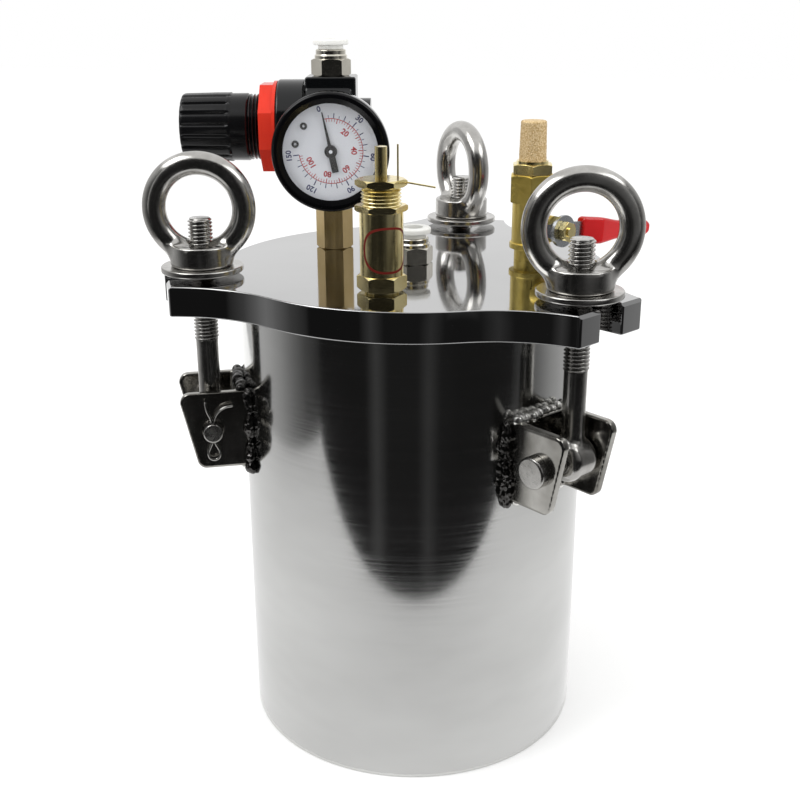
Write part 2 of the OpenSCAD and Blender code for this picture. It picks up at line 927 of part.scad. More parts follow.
// Lever outline seen from the side: x along the lever, y away from the valve.
// The plate steps outwards before the grip.
module lever_side(from, to, in, out) {
    polygon([
        [from, in], [bend_a, in], [bend_b, in + lever_step], [to, in + lever_step],
        [to, out + lever_step], [bend_b - 0.6, out + lever_step], [bend_a - 0.6, out], [from, out]
    ]);
}

// Puts a lever outline, drawn along x and y, upright beside the stem
module on_lever(width) {
    at_stem() rotate([0, 0, -lever_droop]) rotate([90, 0, -90])
        translate([0, 0, -width / 2]) linear_extrude(width) children();
}

module valve_lever() {
    color("gainsboro") difference() {
        union() {
            on_lever(lever_w) lever_side(-3, lever_l - 6, plate_in, plate_out);
            at_stem() rod(6.6, plate_in + 0.05, plate_out - 0.05);
        }
        at_stem() rod(tip_r, plate_in - 1, plate_out + 1);
    }
}

module lever_sleeve() {
    skin = 1.2;
    color("#c21f1f") difference() {
        on_lever(lever_w + 2 * sleeve_skin) polygon([
            [sleeve_from, plate_in - skin], [bend_a + 0.4, plate_in - skin],
            [bend_b + 0.4, plate_in - skin + lever_step],
            [lever_l, plate_in - skin + lever_step], [lever_l, plate_out + skin + lever_step],
            [bend_b - 1, plate_out + skin + lever_step], [bend_a - 1, plate_out + skin],
            [sleeve_from, plate_out + skin]
        ]);
        on_lever(lever_w) lever_side(0, lever_l - 6, plate_in, plate_out);
    }
}

module lever_nut() {
    color("gainsboro") at_stem() difference() {
        rotate([0, 0, 12]) hexagon(7.6, plate_out, plate_out + 2.8, 0.4);
        rod(tip_r, plate_out - 1, plate_out + 4);
    }
}

module muffler_body() {
    color("#cdb14e") at_port(valve_at) difference() {
        union() {
            rod(large_thread_r, valve_end_top - 7.6, valve_end_top + eps);
            rotate([0, 0, FACE_ON - 33]) hexagon(15.8, valve_end_top, muffler_hex_top, 0.6);
            rod(6.6, muffler_hex_top - eps, muffler_hex_top + 1.2);
        }
        rod(air_r, 20, 50);
        rod(element_r, muffler_hex_top - 2, muffler_hex_top + 2);
    }
}

module muffler_element() {
    color("#d8b874") at_port(valve_at) rotate_extrude() polygon([
        [air_r, muffler_hex_top - 2], [element_r, muffler_hex_top - 2],
        [element_r, muffler_hex_top + 1.2], [element_r - 0.4, muffler_top - 0.8],
        [element_r - 1.1, muffler_top], [0, muffler_top], [0, muffler_top - 3],
        [air_r, muffler_top - 3]
    ]);
}

barrel_shell();
bottom_plate();
bracket_left();
bracket_right();
bracket_back();
bracket_welds();
hinge_pins();
cotter_pins();
swing_bolt_left();
swing_bolt_right();
swing_bolt_back();
washer_left();
washer_right();
washer_back();
eye_nut_left();
eye_nut_right();
eye_nut_back();
lid_plate();
lid_gasket();
riser_pipe();
regulator_body();
regulator_bonnet();
panel_nut();
regulator_knob();
adjusting_screw();
spring_seat();
regulator_spring();
diaphragm();
valve_plug();
valve_poppet();
inlet_fitting();
inlet_collet();
gauge_case();
gauge_bezel();
gauge_dial();
gauge_needle();
gauge_lens();
gauge_stem();
bourdon_tube();
relief_body();
relief_lock_nut();
relief_cap();
relief_stem();
relief_spring();
seal_wire();
outlet_fitting();
outlet_collet();
valve_body();
valve_end();
ball_seats();
valve_ball();
valve_stem();
packing_nut();
valve_lever();
lever_sleeve();
lever_nut();
muffler_body();
muffler_element();
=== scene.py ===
"""Looks of the resin pressure pot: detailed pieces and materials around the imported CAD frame."""
import json
import math

import bmesh
import bpy
import numpy as np
from mathutils import Matrix, Vector


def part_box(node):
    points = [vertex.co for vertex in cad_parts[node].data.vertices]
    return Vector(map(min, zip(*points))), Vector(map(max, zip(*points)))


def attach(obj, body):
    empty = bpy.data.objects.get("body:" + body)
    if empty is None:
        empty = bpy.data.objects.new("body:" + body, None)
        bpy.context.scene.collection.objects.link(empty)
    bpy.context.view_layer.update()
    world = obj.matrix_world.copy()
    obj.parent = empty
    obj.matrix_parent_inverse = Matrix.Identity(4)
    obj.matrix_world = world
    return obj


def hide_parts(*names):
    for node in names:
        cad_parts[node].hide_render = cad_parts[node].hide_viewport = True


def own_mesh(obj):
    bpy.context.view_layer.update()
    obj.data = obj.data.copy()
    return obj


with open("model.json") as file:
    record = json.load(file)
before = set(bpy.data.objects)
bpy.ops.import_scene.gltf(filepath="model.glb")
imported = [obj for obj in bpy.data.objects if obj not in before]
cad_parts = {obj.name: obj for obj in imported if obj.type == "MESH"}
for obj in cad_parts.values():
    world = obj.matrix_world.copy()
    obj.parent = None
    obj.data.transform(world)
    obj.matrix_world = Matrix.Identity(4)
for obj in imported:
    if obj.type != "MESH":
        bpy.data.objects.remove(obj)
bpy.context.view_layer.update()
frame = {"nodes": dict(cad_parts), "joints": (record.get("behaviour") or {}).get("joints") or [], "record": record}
MM = 0.001
NODES = frame["nodes"]
JOINTS = {j["name"]: j for j in frame["joints"]}
EARS = ("left", "right", "back")


# ---------- places, all worked out from the frame ----------

def low(node):
    return np.array(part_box(node)[0]) / MM


def high(node):
    return np.array(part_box(node)[1]) / MM


def middle(node):
    return (low(node) + high(node)) / 2


def pivot(joint):
    return np.array(JOINTS[joint]["pos_m"]) / MM


def direction(joint):
    v = np.array(JOINTS[joint]["axis"], float)
    return v / np.linalg.norm(v)


def basis(x, z):
    """Columns x, y, z of a right-handed frame with the given x and z."""
    return np.column_stack([x, np.cross(z, x), z])


UP = np.array([0.0, 0.0, 1.0])
LID_LOW, LID_TOP = middle("lid_gasket")[2] - 1.5, high("lid_plate")[2]
BARREL_R = high("barrel_shell")[0]
BARREL_TOP = high("barrel_shell")[2]


def clamp_frame(joint):
    """Axes at a clamp's joint: x outwards from the pot's axis, y level, z up."""
    at = pivot(joint) * (1, 1, 0)
    return basis(at / np.linalg.norm(at), UP)


EAR_FRAME = {ear: clamp_frame("nut_turn_" + ear) for ear in EARS}
BRACKET_FRAME = {ear: clamp_frame("bolt_swing_" + ear) for ear in EARS}     # a little to one side of the ears
BOLT_R = float(np.hypot(*pivot("bolt_swing_left")[:2]))
PIN_Z = float(pivot("bolt_swing_left")[2])

# Regulator frame: x towards the knob, y towards the gauge's viewer, z up
KNOB_AXIS = -direction("screw_turn")
GAUGE_AXIS = -direction("needle_turn")
REG = basis(KNOB_AXIS, UP), pivot("screw_turn")
# Gauge frame: x right, y up, z towards the viewer; origin on the needle's arbor
GAUGE = basis(-KNOB_AXIS, GAUGE_AXIS), pivot("needle_turn")
# Valve frame: x along the lever, y up, z out along the stem
STEM_AXIS = direction("lever_turn")
VALVE = basis(np.cross(UP, STEM_AXIS), STEM_AXIS), pivot("lever_turn")


# ---------- mesh making, in millimetres ----------

def linked(name, data):
    """A new object in the scene."""
    made = bpy.data.objects.new(name, data)
    bpy.context.scene.collection.objects.link(made)
    return made


def even_normals(made):
    """Keeps flat faces flat next to small roundings."""
    made.modifiers.new("even_normals", "WEIGHTED_NORMAL").keep_sharp = True


def smooth(made, sharp, even):
    """Smooth shading, but for edges of more than sharp degrees where sharp is given."""
    made.data.shade_smooth()
    if sharp:
        made.data.set_sharp_from_angle(angle=math.radians(sharp))
    if even:
        even_normals(made)


def piece(name, shape, body, look, replaces="", placed=(np.eye(3), np.zeros(3)), sharp=0, even=False):
    """A mesh piece from a shape in a local frame, on its CAD body and in place of a CAD node."""
    points, faces = shape
    rot, origin = placed
    world = (np.asarray(points, float) @ rot.T + origin) * MM
    mesh = bpy.data.meshes.new(name)
    mesh.from_pydata([tuple(p) for p in world], [], [tuple(int(i) for i in f) for f in faces])
    mesh.validate()
    made = linked(name, mesh)
    tidy = bmesh.new()
    tidy.from_mesh(mesh)
    bmesh.ops.remove_doubles(tidy, verts=tidy.verts, dist=1e-7)
    bmesh.ops.recalc_face_normals(tidy, faces=tidy.faces)
    tidy.to_mesh(mesh)
    tidy.free()
    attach(made, body)
    if replaces:
        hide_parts(replaces)
    smooth(made, sharp, even)
    mesh.materials.append(look)
    return made


def rounded(points, steps=4):
    """An outline of (x, y, radius) corners, with the corners as arcs; radius 0 is a sharp corner."""
    made = []
    n = len(points)
    for i, (x, y, r) in enumerate(points):
        p = np.array([x, y], float)
        if r <= 0:
            made.append(p)
            continue
        a = np.array(points[i - 1][:2], float) - p
        b = np.array(points[(i + 1) % n][:2], float) - p
        a, b = a / np.linalg.norm(a), b / np.linalg.norm(b)
        half = math.acos(max(-1, min(1, float(a @ b)))) / 2
        if half > math.radians(89):
            made.append(p)
            continue
        back = r / math.tan(half)
        centre = p + (a + b) / np.linalg.norm(a + b) * r / math.sin(half)
        start, end = p + a * back - centre, p + b * back - centre
        sweep = math.atan2(start[0] * end[1] - start[1] * end[0], float(start @ end))
        for k in range(steps + 1):
            t = sweep * k / steps
            c, s = math.cos(t), math.sin(t)
            made.append(centre + [start[0] * c - start[1] * s, start[0] * s + start[1] * c])
    return np.array(made)


def lathe(profile, count=96, ripple=None):
    """Points and faces of a closed (radius, height) profile turned about z. A radius of 0 is a pole."""
    turns = np.arange(count) * 2 * math.pi / count
    points, rows = [], []
    for r, z in profile:
        if r < 1e-6:
            rows.append([len(points)] * count)
            points.append((0, 0, z))
        else:
            rows.append(list(range(len(points), len(points) + count)))
            rr = r + (ripple(turns, z, r) if ripple else 0 * turns)
            points += list(zip(rr * np.cos(turns), rr * np.sin(turns), np.full(count, z)))
    faces = []
    for a, b in zip(rows, rows[1:] + rows[:1]):
        if a[0] == a[-1] and b[0] == b[-1]:
            continue
        for k in range(count):
            m = (k + 1) % count
            faces.append(list(dict.fromkeys([a[k], a[m], b[m], b[k]])))
    return points, faces


def band(a, b, count):
    """Quads between two rings of points that start at a and b."""
    return [(a + k, a + (k + 1) % count, b + (k + 1) % count, b + k) for k in range(count)]


def prism(outline, z0, z1, rim=0.0, steps=2):
    """Points and faces of an extruded outline whose rims are rounded by rim."""
    outline = np.asarray(outline, float)
    n = len(outline)
    forward = np.roll(outline, -1, 0) - outline
    forward /= np.maximum(np.linalg.norm(forward, axis=1), 1e-9)[:, None]
    normal = np.column_stack([forward[:, 1], -forward[:, 0]])
    area = np.sum(outline[:, 0] * np.roll(outline[:, 1], -1) - outline[:, 1] * np.roll(outline[:, 0], -1))
    if area < 0:
        normal = -normal
    before = np.roll(normal, 1, 0)
    mitre = normal + before
    mitre /= np.maximum(np.sum(mitre * normal, axis=1), 0.3)[:, None]
    layers = [(0, z0), (0, z1)]
    if rim > 0:
        arc = [math.pi / 2 * k / steps for k in range(steps + 1)]
        layers = [(rim * (1 - math.sin(a)), z0 + rim * (1 - math.cos(a))) for a in arc]
        layers += [(rim * (1 - math.sin(a)), z1 - rim * (1 - math.cos(a))) for a in reversed(arc)]
    points, faces = [], []
    for inset, z in layers:
        ring = outline - mitre * inset
        points += [(x, y, z) for x, y in ring]
    for i in range(len(layers) - 1):
        faces += band(i * n, (i + 1) * n, n)
    top = (len(layers) - 1) * n
    faces += [tuple(range(n)), tuple(range(top, top + n))]
    return points, faces


def screw(r, pitch, z0, z1, depth, count=40, end=0.8):
    """A rod with a true helical V thread, chamfered at both ends."""
    rows = int((z1 - z0) / pitch * 8)
    zs = np.linspace(z0, z1, rows + 1)
    turns = np.arange(count) * 2 * math.pi / count
    points = [(0, 0, z0)]
    for z in zs:
        phase = (z / pitch - turns / (2 * math.pi)) % 1
        tooth = np.clip(np.abs(phase - 0.5) * 2 * 1.25 - 0.12, 0, 1)
        edge = min(1.0, min(z - z0, z1 - z) / end)
        rr = np.minimum(r - depth * tooth, r - depth * 1.1 * (1 - edge))
        points += list(zip(rr * np.cos(turns), rr * np.sin(turns), np.full(count, z)))
    points.append((0, 0, z1))
    faces, last = [], 1 + rows * count
    for i in range(rows):
        faces += band(1 + i * count, 1 + (i + 1) * count, count)
    for k in range(count):
        m = (k + 1) % count
        faces += [(0, 1 + m, 1 + k), (last + k, last + m, last + count)]
    return points, faces


def wire(path, r, count=10):
    """A round wire along a smooth path."""
    path = np.asarray(path, float)
    ahead = np.gradient(path, axis=0)
    ahead /= np.linalg.norm(ahead, axis=1)[:, None]
    side = np.cross(ahead[0], [0.31, 0.52, 0.79])       # any direction across the wire
    points = []
    for at, along in zip(path, ahead):
        side = side - (side @ along) * along
        side /= np.linalg.norm(side)
        other = np.cross(along, side)
        for k in range(count):
            a = 2 * math.pi * k / count
            points.append(at + r * (math.cos(a) * side + math.sin(a) * other))
    last = (len(path) - 1) * count
    faces = [tuple(range(count)), tuple(range(last, last + count))]
    for start in range(0, last, count):
        faces += band(start, start + count, count)
    return points, faces


def coil(mid_r, wire_r, start, end, turns):
    """A coil spring along z, from start to end over all."""
    steps = np.arange(turns * 32 + 1) / 32
    angles = 2 * math.pi * steps
    rise = (end - start - 2 * wire_r) / turns
    path = np.column_stack([mid_r * np.cos(angles), mid_r * np.sin(angles), start + wire_r + rise * steps])
    return wire(path, wire_r, 12)


def curve(points, cuts=8):
    """A smooth line through the points (Catmull-Rom)."""
    p = np.asarray(points, float)
    p = np.vstack([2 * p[0] - p[1], p, 2 * p[-1] - p[-2]])
    made = []
    for i in range(1, len(p) - 2):
        for k in range(cuts):
            t = k / cuts
            made.append(0.5 * (2 * p[i] + (p[i + 1] - p[i - 1]) * t
                               + (2 * p[i - 1] - 5 * p[i] + 4 * p[i + 1] - p[i + 2]) * t * t
                               + (3 * p[i] - p[i - 1] - 3 * p[i + 1] + p[i + 2]) * t ** 3))
    made.append(p[-2])
    return np.array(made)


def merged(*shapes):
    """Several closed shapes as one list of points and faces."""
    points, faces = [], []
    for p, f in shapes:
        start = len(points)
        points += [tuple(q) for q in p]
        faces += [tuple(i + start for i in g) for g in f]
    return points, faces


def clockwise(angle):
    """Rotation about z, clockwise as seen from +z."""
    s, c = math.sin(angle), math.cos(angle)
    return np.array([[c, s, 0], [-s, c, 0], [0, 0, 1]])


def moved(shape, rot=np.eye(3), origin=(0, 0, 0)):
    return np.asarray(shape[0], float) @ np.asarray(rot).T + np.asarray(origin, float), shape[1]


# ---------- solids from distance functions, for cast and blended shapes ----------

ALL, INNER, FIRST, LAST = slice(None), slice(1, -1), slice(0, -1), slice(1, None)


def pair(axis, rest):
    """Where grid points and their neighbours along the axis are, with rest on the other axes."""
    here, there = [rest] * 3, [rest] * 3
    here[axis], there[axis] = FIRST, LAST
    return tuple(here), tuple(there)


def skin(distance, lo, hi, step):
    """Closed mesh of the surface where distance(points) is 0, drawn on a grid and pulled onto it."""
    axes = [np.arange(lo[i] - 1.5 * step, hi[i] + 2.5 * step, step) for i in range(3)]
    grid = np.stack(np.meshgrid(*axes, indexing="ij"), -1)
    d = distance(grid.reshape(-1, 3)).reshape(grid.shape[:3])
    inside = d < 0
    cell = [len(a) - 1 for a in axes]
    total, hits = np.zeros(cell + [3]), np.zeros(cell)
    for axis in range(3):
        here, there = pair(axis, ALL)
        a, b = d[here], d[there]
        cross = (a < 0) != (b < 0)
        at = grid[here].copy()
        at[..., axis] += np.where(cross, a / np.where(cross, a - b, 1), 0) * step
        for u in (FIRST, LAST):
            for v in (FIRST, LAST):
                part = [u, v]
                part.insert(axis, ALL)
                c = cross[tuple(part)]
                total += np.where(c[..., None], at[tuple(part)], 0)
                hits += c
    used = hits > 0
    index = -np.ones(cell, int)
    index[used] = np.arange(used.sum())
    points = total[used] / hits[used][:, None]
    faces = []
    for axis in range(3):
        here, there = pair(axis, INNER)
        a, b = inside[here], inside[there]
        for flip in (False, True):
            base = np.argwhere(~a & b if flip else a & ~b) + 1
            base[:, axis] -= 1
            quad = []
            for u, v in ((1, 1), (0, 1), (0, 0), (1, 0)):
                q = base.copy()
                q[:, (axis + 1) % 3] -= u
                q[:, (axis + 2) % 3] -= v
                quad.append(index[tuple(q.T)])
            quad = np.column_stack(quad[::-1] if flip else quad)
            faces.append(quad[(quad >= 0).all(1)])
    h = 0.02            # of the slope's central difference
    for _ in range(4):
        slope = np.column_stack([(distance(points + shift) - distance(points - shift)) / (2 * h)
                                 for shift in h * np.eye(3)])
        pull = distance(points)[:, None] * slope / np.maximum((slope ** 2).sum(1), 0.2)[:, None]
        points = points - np.clip(pull, -step * 0.6, step * 0.6)
    return points, np.vstack(faces)


def block(p, centre, half, r):
    """A box of the given half sizes, its edges rounded by r."""
    q = np.abs(p - np.asarray(centre, float)) - np.asarray(half, float) + r
    return np.linalg.norm(np.maximum(q, 0), axis=1) + np.minimum(q.max(1), 0) - r


def slab(flat, z, z0, z1, edge):
    """A flat outline's distance made into a plate from z0 to z1 with rounded rims."""
    a = flat + edge
    b = np.abs(z - (z0 + z1) / 2) - (z1 - z0) / 2 + edge
    out = np.linalg.norm(np.column_stack([np.maximum(a, 0), np.maximum(b, 0)]), axis=1)
    return out + np.minimum(np.maximum(a, b), 0) - edge


def drum(p, r, z0, z1, edge, axis=2, centre=(0, 0, 0)):
    """A cylinder along an axis between z0 and z1, its rims rounded by edge."""
    q = p - np.asarray(centre, float)
    return slab(np.linalg.norm(np.delete(q, axis, 1), axis=1) - r, q[:, axis], z0, z1, edge)


def ring(p, big, small, centre):
    """A hoop of radius big, standing across y, from a bar of radius small."""
    q = p - np.asarray(centre, float)
    return np.hypot(np.linalg.norm(q[:, [0, 2]], axis=1) - big, q[:, 1]) - small


def blend(a, b, k):
    """Union with a fillet of about k."""
    h = np.clip(0.5 + 0.5 * (b - a) / k, 0, 1)
    return b + (a - b) * h - k * h * (1 - h)


def cut(a, b, k=0.3):
    """a without b, with its new edge rounded by about k."""
    return -blend(-a, b, k)


def outline_distance(p, corners):
    """Distance to a closed polygon, negative inside."""
    v = np.asarray(corners, float)
    w = np.roll(v, -1, 0)
    best = np.full(len(p), 1e9)
    sign = np.ones(len(p))
    for a, b in zip(v, w):
        e = b - a
        q = p - a
        t = np.clip((q @ e) / (e @ e), 0, 1)
        best = np.minimum(best, ((q - t[:, None] * e) ** 2).sum(1))
        over = (a[1] > p[:, 1]) != (b[1] > p[:, 1])
        side = q[:, 0] * e[1] - q[:, 1] * e[0]
        sign = np.where(over & ((side < 0) == (e[1] > 0)), -sign, sign)
    return sign * np.sqrt(best)


# ---------- materials ----------

def shader(name, color, rough, metal=0.0, **sockets):
    """A new Principled material, its node tree and its shader."""
    made = bpy.data.materials.new(name)
    made.use_nodes = True
    tree = made.node_tree
    main = tree.nodes["Principled BSDF"]
    main.inputs["Base Color"].default_value = (*color, 1)
    main.inputs["Roughness"].default_value = rough
    main.inputs["Metallic"].default_value = metal
    for socket, value in sockets.items():
        main.inputs[socket.replace("_", " ")].default_value = value
    return made, tree, main


def tree_node(tree, kind, **sockets):
    """A new node; each socket gets a value, or the output of another node that feeds it."""
    made = tree.nodes.new("ShaderNode" + kind)
    for name, given in sockets.items():
        socket = made.inputs[name.replace("_", " ")]
        if isinstance(given, bpy.types.NodeSocket):
            tree.links.new(given, socket)
        else:
            socket.default_value = given
    return made


def texture_noise(tree, stretch, detail=4.0, rough=0.55):
    """Noise over the object's own coordinates; stretch is its frequency per metre, alike or by axis."""
    scale = tree_node(tree, "Mapping", Vector=tree_node(tree, "TexCoord").outputs["Object"],
                 Scale=stretch if isinstance(stretch, tuple) else (stretch,) * 3)
    return tree_node(tree, "TexNoise", Vector=scale.outputs["Vector"], Scale=1.0, Detail=detail,
                Roughness=rough).outputs["Fac"]


def spread(tree, value, low_in, high_in, low_out, high_out):
    """The value mapped from one range to another."""
    return tree_node(tree, "MapRange", Value=value, From_Min=low_in, From_Max=high_in,
                To_Min=low_out, To_Max=high_out).outputs["Result"]


def vary_color(tree, main, value, dark, light):
    """The base colour runs from dark to light with the value."""
    mix = tree_node(tree, "Mix")
    mix.data_type = "RGBA"
    mix.inputs["A"].default_value = (*dark, 1)
    mix.inputs["B"].default_value = (*light, 1)
    tree.links.new(value, mix.inputs["Factor"])
    tree.links.new(mix.outputs["Result"], main.inputs["Base Color"])


def bump(tree, main, value, height):
    """Raises the surface by height (in metres) with the value."""
    raised = tree_node(tree, "Bump", Strength=1.0, Distance=height, Height=value)
    tree.links.new(raised.outputs["Normal"], main.inputs["Normal"])


def metal(name, dark, light, rough, stretch=300, grain=3e-6, blur=0.4, soft=60):
    """A metal whose colour drifts softly and whose polish is streaked or grained along stretch."""
    made, tree, main = shader(name, light, rough, 1.0)
    drift = texture_noise(tree, soft, 3.0)
    vary_color(tree, main, spread(tree, drift, 0.3, 0.7, 0, 1), dark, light)
    streak = texture_noise(tree, stretch, 5.0, 0.6)
    tree.links.new(spread(tree, streak, 0.25, 0.75, rough * (1 - blur), rough * (1 + blur)),
                   main.inputs["Roughness"])
    bump(tree, main, streak, grain)
    return made


def plastic(name, color, rough, grain=4e-6, size=900, coat=0.0, lift=1.25, specular=0.5):
    """A moulded or painted skin with a fine even texture."""
    made, tree, main = shader(name, color, rough, Coat_Weight=coat, Coat_Roughness=0.08,
                              Specular_IOR_Level=specular)
    speck = texture_noise(tree, size)
    drift = texture_noise(tree, 45, 3.0)
    vary_color(tree, main, spread(tree, drift, 0.3, 0.7, 0, 1), tuple(c / lift for c in color), color)
    tree.links.new(spread(tree, drift, 0.2, 0.8, rough * 0.85, rough * 1.2), main.inputs["Roughness"])
    bump(tree, main, speck, grain)
    return made


POLISHED = metal("polished_sheet", (0.55, 0.55, 0.54), (0.62, 0.62, 0.61), 0.12,
                 stretch=(9, 9, 1500), grain=1.3e-6, soft=(12, 12, 30))
MIRROR = metal("mirror_lid", (0.45, 0.45, 0.45), (0.49, 0.49, 0.49), 0.06, stretch=240, grain=2e-7, soft=20)
BRIGHT = metal("bright_steel", (0.46, 0.45, 0.43), (0.60, 0.59, 0.57), 0.17, stretch=700, grain=2e-6)
FORGED = metal("forged_eye", (0.40, 0.39, 0.37), (0.56, 0.55, 0.53), 0.20,
               stretch=600, grain=1.5e-6, blur=0.25, soft=130)
PRESSED = metal("pressed_bracket", (0.22, 0.21, 0.19), (0.50, 0.49, 0.46), 0.14,
                stretch=(420, 420, 60), grain=5e-7, blur=0.30, soft=55)
SATIN = metal("satin_steel", (0.42, 0.41, 0.39), (0.55, 0.54, 0.52), 0.25,
              stretch=400, grain=1.5e-6, blur=0.3)
# Painted shade: this near-black weld stands in for the dark reflections that the welds up the brackets' sides
# show.
WELD = metal("weld_lump", (0.02, 0.019, 0.018), (0.17, 0.165, 0.16), 0.20,
             stretch=500, grain=1.5e-6, soft=260)
# Painted highlight: this weld is made much lighter than the other steels to stand in for the light the top seams
# catch; it is the lit copy of the near-black weld above.
WELD_BRIGHT = metal("weld_seam", (0.66, 0.65, 0.62), (0.97, 0.96, 0.93), 0.22,
                    stretch=500, grain=1e-6, soft=200)
SPRING = metal("spring_wire", (0.34, 0.34, 0.34), (0.48, 0.48, 0.48), 0.3)
BRASS = metal("polished_brass", (0.80, 0.65, 0.28), (0.95, 0.83, 0.46), 0.18,
              stretch=(500, 500, 1400), grain=2.5e-6)
BRASS_MATT = metal("matt_brass", (0.66, 0.51, 0.13), (0.80, 0.65, 0.22), 0.40, stretch=900, grain=5e-6)
BRONZE = metal("drawn_brass", (0.66, 0.49, 0.22), (0.80, 0.62, 0.33), 0.40,
               stretch=(600, 600, 90), grain=2.5e-6, blur=0.2)
NICKEL = metal("nickel", (0.56, 0.53, 0.46), (0.70, 0.67, 0.59), 0.15, stretch=600, grain=2e-6)
CHROME = metal("chrome", (0.62, 0.62, 0.63), (0.70, 0.70, 0.71), 0.08, stretch=500, grain=1e-6)
ZINC = metal("zinc_plate", (0.42, 0.44, 0.46), (0.55, 0.57, 0.59), 0.26, stretch=700, grain=4e-6)
BLUED = metal("dark_nut", (0.26, 0.28, 0.33), (0.44, 0.46, 0.52), 0.2, stretch=700, grain=2e-6)
CASTING = plastic("black_gloss", (0.003, 0.0035, 0.004), 0.13, grain=3e-6, size=500, specular=0.4)
KNOB = plastic("knob_plastic", (0.004, 0.004, 0.0045), 0.20, grain=3e-6, specular=0.3)
BEZEL = plastic("bezel_plastic", (0.002, 0.002, 0.0025), 0.16, grain=2e-6, specular=0.25)
RED = plastic("red_plastic", (0.72, 0.030, 0.010), 0.24, specular=0.35)
VINYL = plastic("red_vinyl", (0.50, 0.006, 0.008), 0.14, grain=6e-6, size=300, coat=0.5, lift=1.3)
WHITE = plastic("white_collet", (0.78, 0.78, 0.75), 0.36, lift=1.04)
GASKET = plastic("gasket_rubber", (0.80, 0.79, 0.74), 0.5, lift=1.06)
RUBBER = plastic("black_rubber", (0.03, 0.03, 0.03), 0.6)
DIAL = plastic("dial_face", (0.74, 0.76, 0.81), 0.42, grain=1e-6, lift=1.05)
BLUE_INK = plastic("blue_ink", (0.016, 0.022, 0.13), 0.5, lift=1.3)
RED_INK = plastic("red_ink", (0.48, 0.020, 0.030), 0.5, lift=1.2)
NEEDLE = plastic("needle_black", (0.006, 0.006, 0.007), 0.4, specular=0.3)
MAROON = plastic("maroon_mark", (0.12, 0.008, 0.004), 0.3, lift=1.5, specular=0.2)


def sintered():
    """Pressed bronze grains, light at their middles and darker in the hollows between them: painted shade."""
    made, tree, main = shader("sintered_bronze", (0.75, 0.55, 0.30), 0.55, 0.35)
    grains = tree_node(tree, "TexVoronoi", Scale=1700, Vector=tree_node(tree, "TexCoord").outputs["Object"])
    # Painted shade: the colour darkens towards each grain's rim, where the bump sinks into the hollows between
    # grains.
    vary_color(tree, main, spread(tree, grains.outputs["Distance"], 0.0, 0.75, 0, 1),
               (0.95, 0.78, 0.50), (0.52, 0.35, 0.15))
    bump(tree, main, grains.outputs["Distance"], -1.0e-4)
    return made


def glass():
    """The gauge's lens, faintly uneven."""
    made, tree, main = shader("gauge_glass", (1, 1, 1), 0.03, Transmission_Weight=1.0, IOR=1.45)
    haze = texture_noise(tree, 90, 2.0)
    tree.links.new(spread(tree, haze, 0.3, 0.7, 0.015, 0.035), main.inputs["Roughness"])
    return made


SINTERED, GLASS = sintered(), glass()


def keep(node, look, rim=0.0, angle=28):
    """A CAD node that stays: its look, and its edges over the angle rounded by rim millimetres."""
    made = NODES[node]
    made.data.materials.clear()
    made.data.materials.append(look)
    if rim:
        made.modifiers.new("join", "WELD").merge_threshold = 2e-6
        soften = made.modifiers.new("rim", "BEVEL")
        soften.width = rim * MM
        soften.segments = 2
        soften.limit_method = "ANGLE"
        soften.angle_limit = math.radians(angle)
        soften.miter_outer = "MITER_ARC"
        even_normals(made)
    return made


# ---------- barrel ----------

def barrel():
    wall, foot = 3.0, 0.8
    profile = rounded([(BARREL_R, 0, foot), (BARREL_R, BARREL_TOP, 0.3),
                       (BARREL_R - wall, BARREL_TOP, 0.3), (BARREL_R - wall, 0, 0.3)])
    piece("barrel_wall", lathe(profile, 192), "pot", POLISHED, "barrel_shell",
          even=True)
    keep("bottom_plate", POLISHED)


# ---------- lid ----------

def lid_outline():
    """Three ears with open slots, each joined to the round middle by hollow arcs."""
    middle_r, tip, half, spread_angle, slot = 80.5, high("lid_plate")[1], 18.5, math.radians(32.3), 6.5
    touch = np.array([math.cos(spread_angle), math.sin(spread_angle)])
    corner = np.array([tip, half])
    reach = (middle_r ** 2 - corner @ corner) / (2 * middle_r - 2 * touch @ corner)
    centre, hollow = reach * touch, reach - middle_r
    half_ear = [(middle_r * math.cos(a), middle_r * math.sin(a), 0)
                for a in np.linspace(math.pi / 3, spread_angle, 12)[:-1]]
    start = math.atan2(*(middle_r * touch - centre)[::-1])
    end = math.atan2(*(corner - centre)[::-1])
    sweep = (end - start + math.pi) % (2 * math.pi) - math.pi
    half_ear += [(*(centre + hollow * np.array([math.cos(a), math.sin(a)])), 0)
                 for a in np.linspace(start, start + sweep, 15)[:-1]]
    half_ear += [(tip, half, 1.5), (tip, slot, 0.8)]
    half_ear += [(BOLT_R + slot * math.sin(a), slot * math.cos(a), 0)
                 for a in np.linspace(0, math.pi * -0.5, 9)]
    one = half_ear + [(x, -y, r) for x, y, r in reversed(half_ear[:-1])]
    outline = []
    for ear in ("back", "right", "left"):
        out = EAR_FRAME[ear][:, 0]
        for x, y, r in one[1:]:
            outline.append((x * out[0] - y * out[1], x * out[1] + y * out[0], r))
    return rounded(outline, 4)


